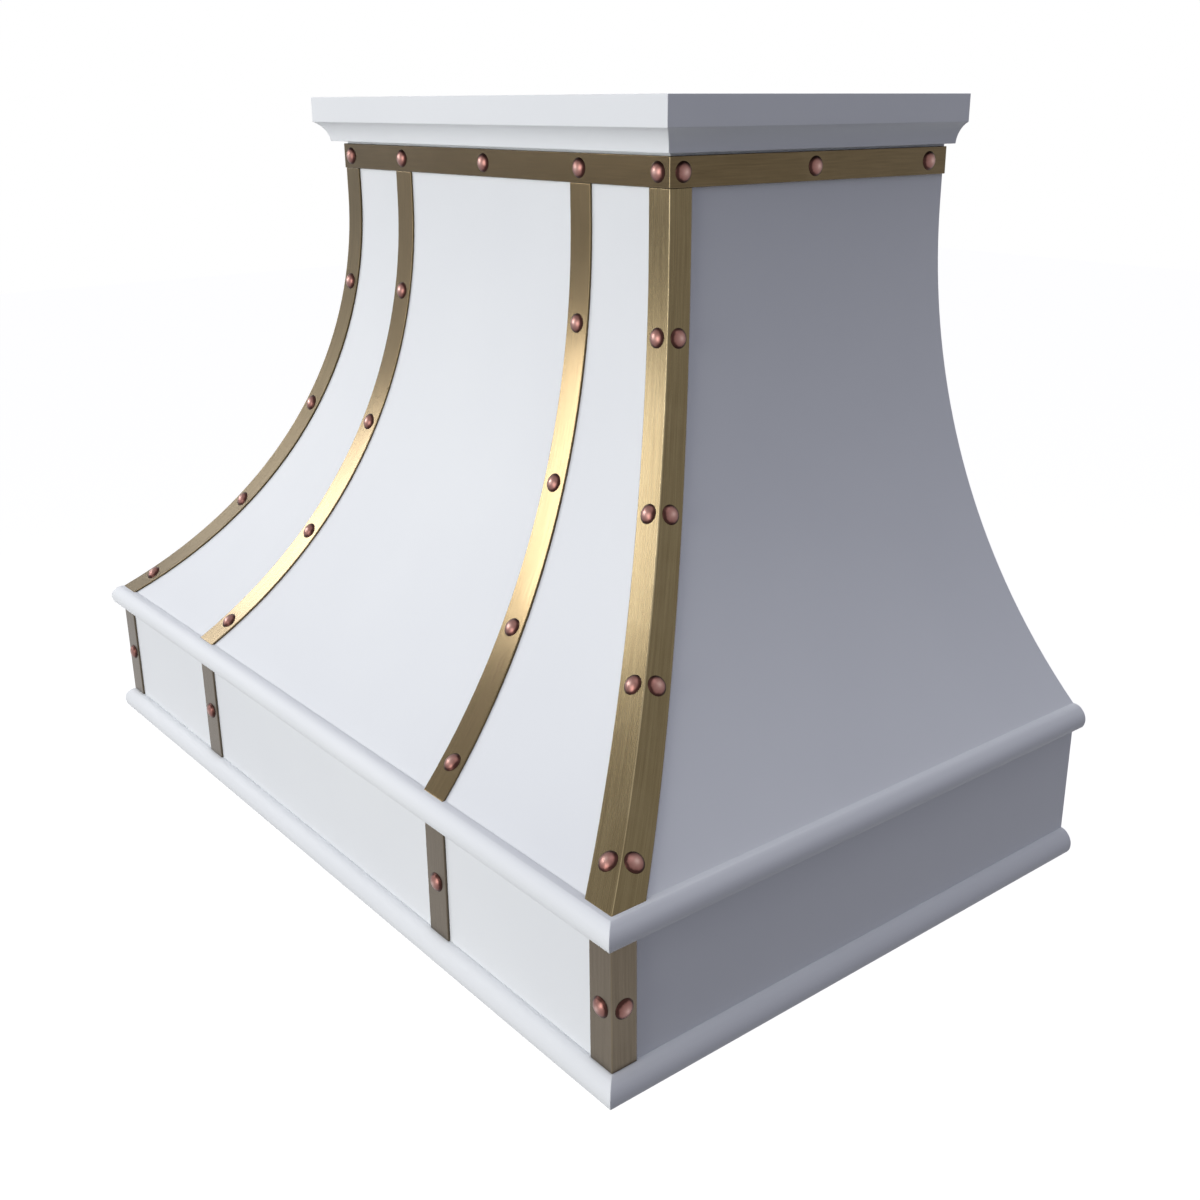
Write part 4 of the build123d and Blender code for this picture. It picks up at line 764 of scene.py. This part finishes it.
def rivet_spots():
    """Where each rivet's head lies: a matrix with its Z axis pointing out of the metal."""

    def lifted(wall, z, metal):
        """Height above the wall at which a flat head rests on the metal's hollow face."""
        if z >= FLARE_TOP:
            return metal
        return metal + RIVET_RADIUS**2 / (2 * (wall.radius - metal))

    def front(x, z, metal=STRAP_WALL):
        tilt = atan(FRONT.slope(z))
        normal = Vector((0, -cos(tilt), sin(tilt)))
        place = Vector((x, -FRONT.reach(z), z)) + normal * lifted(FRONT, z, metal)
        return Matrix.Translation(place) @ Matrix.Rotation(pi / 2 - tilt, 4, "X")

    def flank(side, y, z, metal=STRAP_WALL):
        tilt = atan(SIDE.slope(z))
        normal = Vector((side * cos(tilt), 0, sin(tilt)))
        place = Vector((side * SIDE.reach(z), y, z)) + normal * lifted(SIDE, z, metal)
        return Matrix.Translation(place) @ Matrix.Rotation(side * (pi / 2 - tilt), 4, "Y")

    spots = []
    middle = (BAND_LOW + BAND_HIGH) / 2
    for side in (-1, 1):
        for share in RIVET_SHARES:
            z = STRAP_LOW + share * (BAND_LOW - STRAP_LOW)
            x = SIDE.reach(z, STRAP_WALL) - level_width(CORNER_FRONT_LEG, SIDE, FRONT, z) / 2
            y = FRONT.reach(z, STRAP_WALL) - level_width(CORNER_SIDE_LEG, FRONT, SIDE, z) / 2
            spots += [front(side * x, z), flank(side, -y, z), front(side * strap_line(z), z)]
        corner = BODY_DEPTH + BAND_WALL - BAND_CORNER_INSET
        for y in (corner, (corner + BAND_REAR_INSET) / 2, BAND_REAR_INSET):
            spots.append(flank(side, -y, middle, BAND_WALL))
        for x in (BODY_HALF + BAND_WALL - BAND_CORNER_INSET, STRAP_OFFSET):
            spots.append(front(side * x, middle, BAND_WALL))
        out = APRON_DEPTH + STRAP_WALL
        for x in (APRON_HALF + STRAP_WALL - CORNER_FRONT_LEG / 2, strap_line(FLARE_FOOT)):
            place = Matrix.Translation((side * x, -out, APRON_RIVET_LEVEL))
            spots.append(place @ Matrix.Rotation(pi / 2, 4, "X"))
        corner = (side * (APRON_HALF + STRAP_WALL), CORNER_SIDE_LEG / 2 - out, APRON_RIVET_LEVEL)
        spots.append(Matrix.Translation(corner) @ Matrix.Rotation(side * pi / 2, 4, "Y"))
    spots.append(front(0, middle, BAND_WALL))
    return spots


def rivet_heads():
    """One dome is spun, and copies of it are laid on every rivet's place."""
    dome = begin("rivet_heads")
    sphere = (RIVET_RADIUS**2 + RIVET_RISE**2) / (2 * RIVET_RISE)
    shoulder = (RIVET_RADIUS / 2, sqrt(sphere**2 - (RIVET_RADIUS / 2) ** 2) - sphere + RIVET_RISE)
    lip = (RIVET_RADIUS - RIVET_LIP, RIVET_LIP_RISE)
    curve = arc((0, RIVET_RISE), shoulder, lip, DOME_STEPS)
    outline = [(0, RIVET_RISE), *curve, (RIVET_RADIUS, RIVET_LIP), (RIVET_RADIUS, 0), (0, 0)]
    draw([(x, 0, z) for x, z in outline])
    bpy.ops.mesh.spin(steps=DOME_TURNS, angle=2 * pi, center=(0, 0, 0), axis=(0, 0, 1))
    face_out(dome, (0, 0, RIVET_RISE / 3))
    smooth(dome, 50)
    lay_map(dome, lambda p: (hypot(p.x, p.y) / RIVET_RADIUS, atan2(p.y, p.x) / (2 * pi)))
    heads = []
    for spot in rivet_spots():
        pick(dome)
        bpy.ops.object.duplicate(linked=False)
        head = bpy.context.object
        head.matrix_world = spot
        bpy.ops.object.transform_apply(location=True, rotation=True, scale=True)
        heads.append(head)
    pick(dome)
    bpy.ops.object.delete()
    pick(heads[0])
    for head in heads:
        head.select_set(True)
    bpy.ops.object.join()
    heads[0].name = "rivet_heads"
    return heads[0]


def painted(piece, node):
    stand_for(piece, [node], FINISHES["white_paint"])


def strapped(piece, node, finish=STRAP_BRASS):
    stand_for(piece, [node], finish)


painted(front_panel(), "canopy_front")
right = side_panel("right_panel")
painted(mirrored(right, "left_panel"), "canopy_left")
painted(right, "canopy_right")
painted(crown_trim(), "crown")
tuck = APRON_HALF - SIDE.reach(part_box("upper_moulding")[1].z)
painted(nosing("upper_nosing", "upper_moulding", tuck), "upper_moulding")
painted(nosing("lower_nosing", "lower_moulding", 0), "lower_moulding")
strapped(band_bar(), "brass_band", BAND_BRASS)
# The left-hand corner strap is rougher than the right-hand one, and darker with painted shade
for build, title, node, left_finish, right_finish in (
    (front_bar, "front_bar", "front_strap", STRAP_BRASS, STRAP_BRASS),
    (corner_bar, "corner_bar", "corner_strap", DULL_SHADED_BRASS, CORNER_BRASS),
    (apron_angle, "apron_angle", "apron_corner_strap", APRON_BRASS, APRON_BRASS),
):
    right = build(f"{title}_right")
    strapped(mirrored(right, f"{title}_left"), f"{node}_left", left_finish)
    strapped(right, f"{node}_right", right_finish)
right = apron_bar("apron_bar_right")
strapped(mirrored(right, "apron_bar_left"), "apron_straps", APRON_BAR_BRASS)
strapped(right, "apron_straps", APRON_BAR_BRASS)
stand_for(rivet_heads(), ["rivets"], FINISHES["copper_rivet"])


# Sheet metal and fittings: edges eased and round walls smooth, each in the place of its CAD node

BUTTONS = ("light", "low", "medium", "high")
EASED = (
    "apron", "liner", "plenum", "blower_box", "top_panel", "rear_rail", "hanging_rail", "wall_bracket",
    "control_panel", "lamp_housings", "lamp_lenses", "cable_grommet", "duct_pipe", "duct_collar",
    "junction_box", "junction_box_cover", "grease_trough", "grease_cup", "grease_cup_rails",
    *(f"filter_{part}_{side}" for part in ("frame", "baffles", "handle") for side in FILTERS),
    "filter_pivot_brackets", *(f"button_{name}" for name in BUTTONS), "switch_block",
    "motor_bracket", "motor_casing", "damper_pin", "screws",
)


def eased(node):
    """A copy of a CAD node's mesh with its edges rounded."""
    piece = bpy.data.objects.new(f"{node}_eased", frame["nodes"][node].data.copy())
    piece.data.name = piece.name
    bpy.context.scene.collection.objects.link(piece)
    pick(piece)
    bpy.ops.mesh.customdata_custom_splitnormals_clear()
    bpy.ops.object.mode_set(mode="EDIT")
    bpy.ops.mesh.select_all(action="SELECT")
    bpy.ops.mesh.remove_doubles(threshold=MERGE_CAD)
    bpy.ops.object.mode_set(mode="OBJECT")
    soften(piece, FITTING_EDGE, 2, FREE_WIDTH, angle=40)
    return piece


bodies = {node: body for body, nodes in frame["record"]["behaviour"]["bodies"].items() for node in nodes}
for node in EASED:
    stand_for(eased(node), [node], frame["nodes"][node].data.materials[0], bodies[node])


# Floor, light and camera

FLOOR_LEVEL = -1.7
FLOOR_WIDTH = 40
FLOOR_GREY = 0.24
FLOOR_GLOW = 0.93
SKY_COLOUR = (0.88, 0.88, 1.09)
SKY_STRENGTH = 0.28
# Name, azimuth and height in degrees, distance, size, brightness per area, colour and roll in degrees
LAMPS = (
    ("tall_window", -49.0, 15.6, 5.0, (0.5, 1.62), 18.0, (1.0, 0.99, 0.97), 11.7),
    ("long_window", -64.0, 16.6, 5.0, (1.32, 0.38), 16.0, (1.0, 0.99, 0.97), -33.0),
    ("soft_box", 7.0, 6.0, 5.0, (1.7, 3.2), 8.3, (1.0, 0.995, 0.965), 0.0),
    ("ceiling_light", 80.0, 80.0, 4.0, (3.0, 3.0), 1.15, (0.94, 0.95, 1.0), 0.0),
    ("back_light", 232.0, 32.0, 5.0, (2.4, 2.4), 2.6, (0.99, 0.99, 1.0), 0.0),
)
AZIMUTH = radians(50.77)
ELEVATION = radians(19.31)
ROLL = radians(-0.27)
EYE = Vector((1.44923, -1.42695, 0.90741))
FOCAL = 1379.98
CENTRE = (616.60, 584.79)
FRAME = 1200
SENSOR = 36.0
AIM = (0, -0.45, 0.5)


def shown_white(tree):
    """1 for what the eye, gloss and glass see, and 0 for the light that falls on the hood."""
    path = tree.nodes.new("ShaderNodeLightPath")
    first = tree.nodes.new("ShaderNodeMath")
    second = tree.nodes.new("ShaderNodeMath")
    first.operation = second.operation = "MAXIMUM"
    tree.links.new(path.outputs["Is Camera Ray"], first.inputs[0])
    tree.links.new(path.outputs["Is Glossy Ray"], first.inputs[1])
    tree.links.new(first.outputs["Value"], second.inputs[0])
    tree.links.new(path.outputs["Is Transmission Ray"], second.inputs[1])
    return second.outputs["Value"]


def sky():
    """White to look at, with a faint cool light of its own."""
    world = bpy.data.worlds.new("studio")
    bpy.context.scene.world = world
    world.use_nodes = True
    tree = world.node_tree
    tree.nodes.clear()
    seen = tree.nodes.new("ShaderNodeBackground")
    seen.inputs["Color"].default_value = (1, 1, 1, 1)
    seen.inputs["Strength"].default_value = 1.0
    soft = tree.nodes.new("ShaderNodeBackground")
    soft.inputs["Color"].default_value = (*SKY_COLOUR, 1)
    soft.inputs["Strength"].default_value = SKY_STRENGTH
    mix = tree.nodes.new("ShaderNodeMixShader")
    tree.links.new(shown_white(tree), mix.inputs["Fac"])
    tree.links.new(soft.outputs["Background"], mix.inputs[1])
    tree.links.new(seen.outputs["Background"], mix.inputs[2])
    out = tree.nodes.new("ShaderNodeOutputWorld")
    tree.links.new(mix.outputs["Shader"], out.inputs["Surface"])


def floor():
    """Pale floor that shows as white and takes the hood's shadow."""
    bpy.ops.object.select_all(action="DESELECT")
    bpy.ops.mesh.primitive_plane_add(size=FLOOR_WIDTH, location=(0, 0, FLOOR_LEVEL))
    ground = bpy.context.object
    ground.name = "floor"
    pale = Finish("floor", Roughness=0.9, Specular_IOR_Level=0.0, Base_Color=(*[FLOOR_GREY] * 3, 1))
    tree = pale.tree
    glow = tree.nodes.new("ShaderNodeMath")
    glow.operation = "MULTIPLY"
    glow.inputs[1].default_value = FLOOR_GLOW
    tree.links.new(shown_white(tree), glow.inputs[0])
    pale.shader.inputs["Emission Color"].default_value = (1, 1, 1, 1)
    tree.links.new(glow.outputs["Value"], pale.shader.inputs["Emission Strength"])
    ground.data.materials.append(pale.material)


def lamp(name, azimuth, height, distance, size, radiance, colour, roll):
    """Soft rectangular light aimed at the hood."""
    data = bpy.data.lights.new(name, "AREA")
    data.shape = "RECTANGLE"
    data.size, data.size_y = size
    data.energy = radiance * pi * size[0] * size[1]
    data.color = colour
    light = bpy.data.objects.new(name, data)
    bpy.context.scene.collection.objects.link(light)
    across, above = radians(azimuth), radians(height)
    toward = Vector((sin(across) * cos(above), -cos(across) * cos(above), sin(above)))
    turn = toward.to_track_quat("Z", "Y").to_matrix().to_4x4() @ Matrix.Rotation(radians(roll), 4, "Z")
    light.matrix_world = Matrix.Translation(Vector(AIM) + toward * distance) @ turn


def camera():
    back = Vector((sin(AZIMUTH) * cos(ELEVATION), -cos(AZIMUTH) * cos(ELEVATION), sin(ELEVATION)))
    level = Vector((cos(AZIMUTH), sin(AZIMUTH), 0))
    up = level.cross(-back)
    right = cos(ROLL) * level + sin(ROLL) * up
    above = cos(ROLL) * up - sin(ROLL) * level
    data = bpy.data.cameras.new("camera")
    data.sensor_width = SENSOR
    data.lens = FOCAL * SENSOR / FRAME
    data.shift_x = (FRAME / 2 - CENTRE[0]) / FRAME
    data.shift_y = (CENTRE[1] - FRAME / 2) / FRAME
    eye = bpy.data.objects.new("camera", data)
    bpy.context.scene.collection.objects.link(eye)
    turn = Matrix((right, above, back)).transposed().to_4x4()
    eye.matrix_world = Matrix.Translation(EYE) @ turn
    bpy.context.scene.camera = eye


bpy.context.scene.view_settings.view_transform = "Standard"
floor()
sky()
for values in LAMPS:
    lamp(*values)
camera()
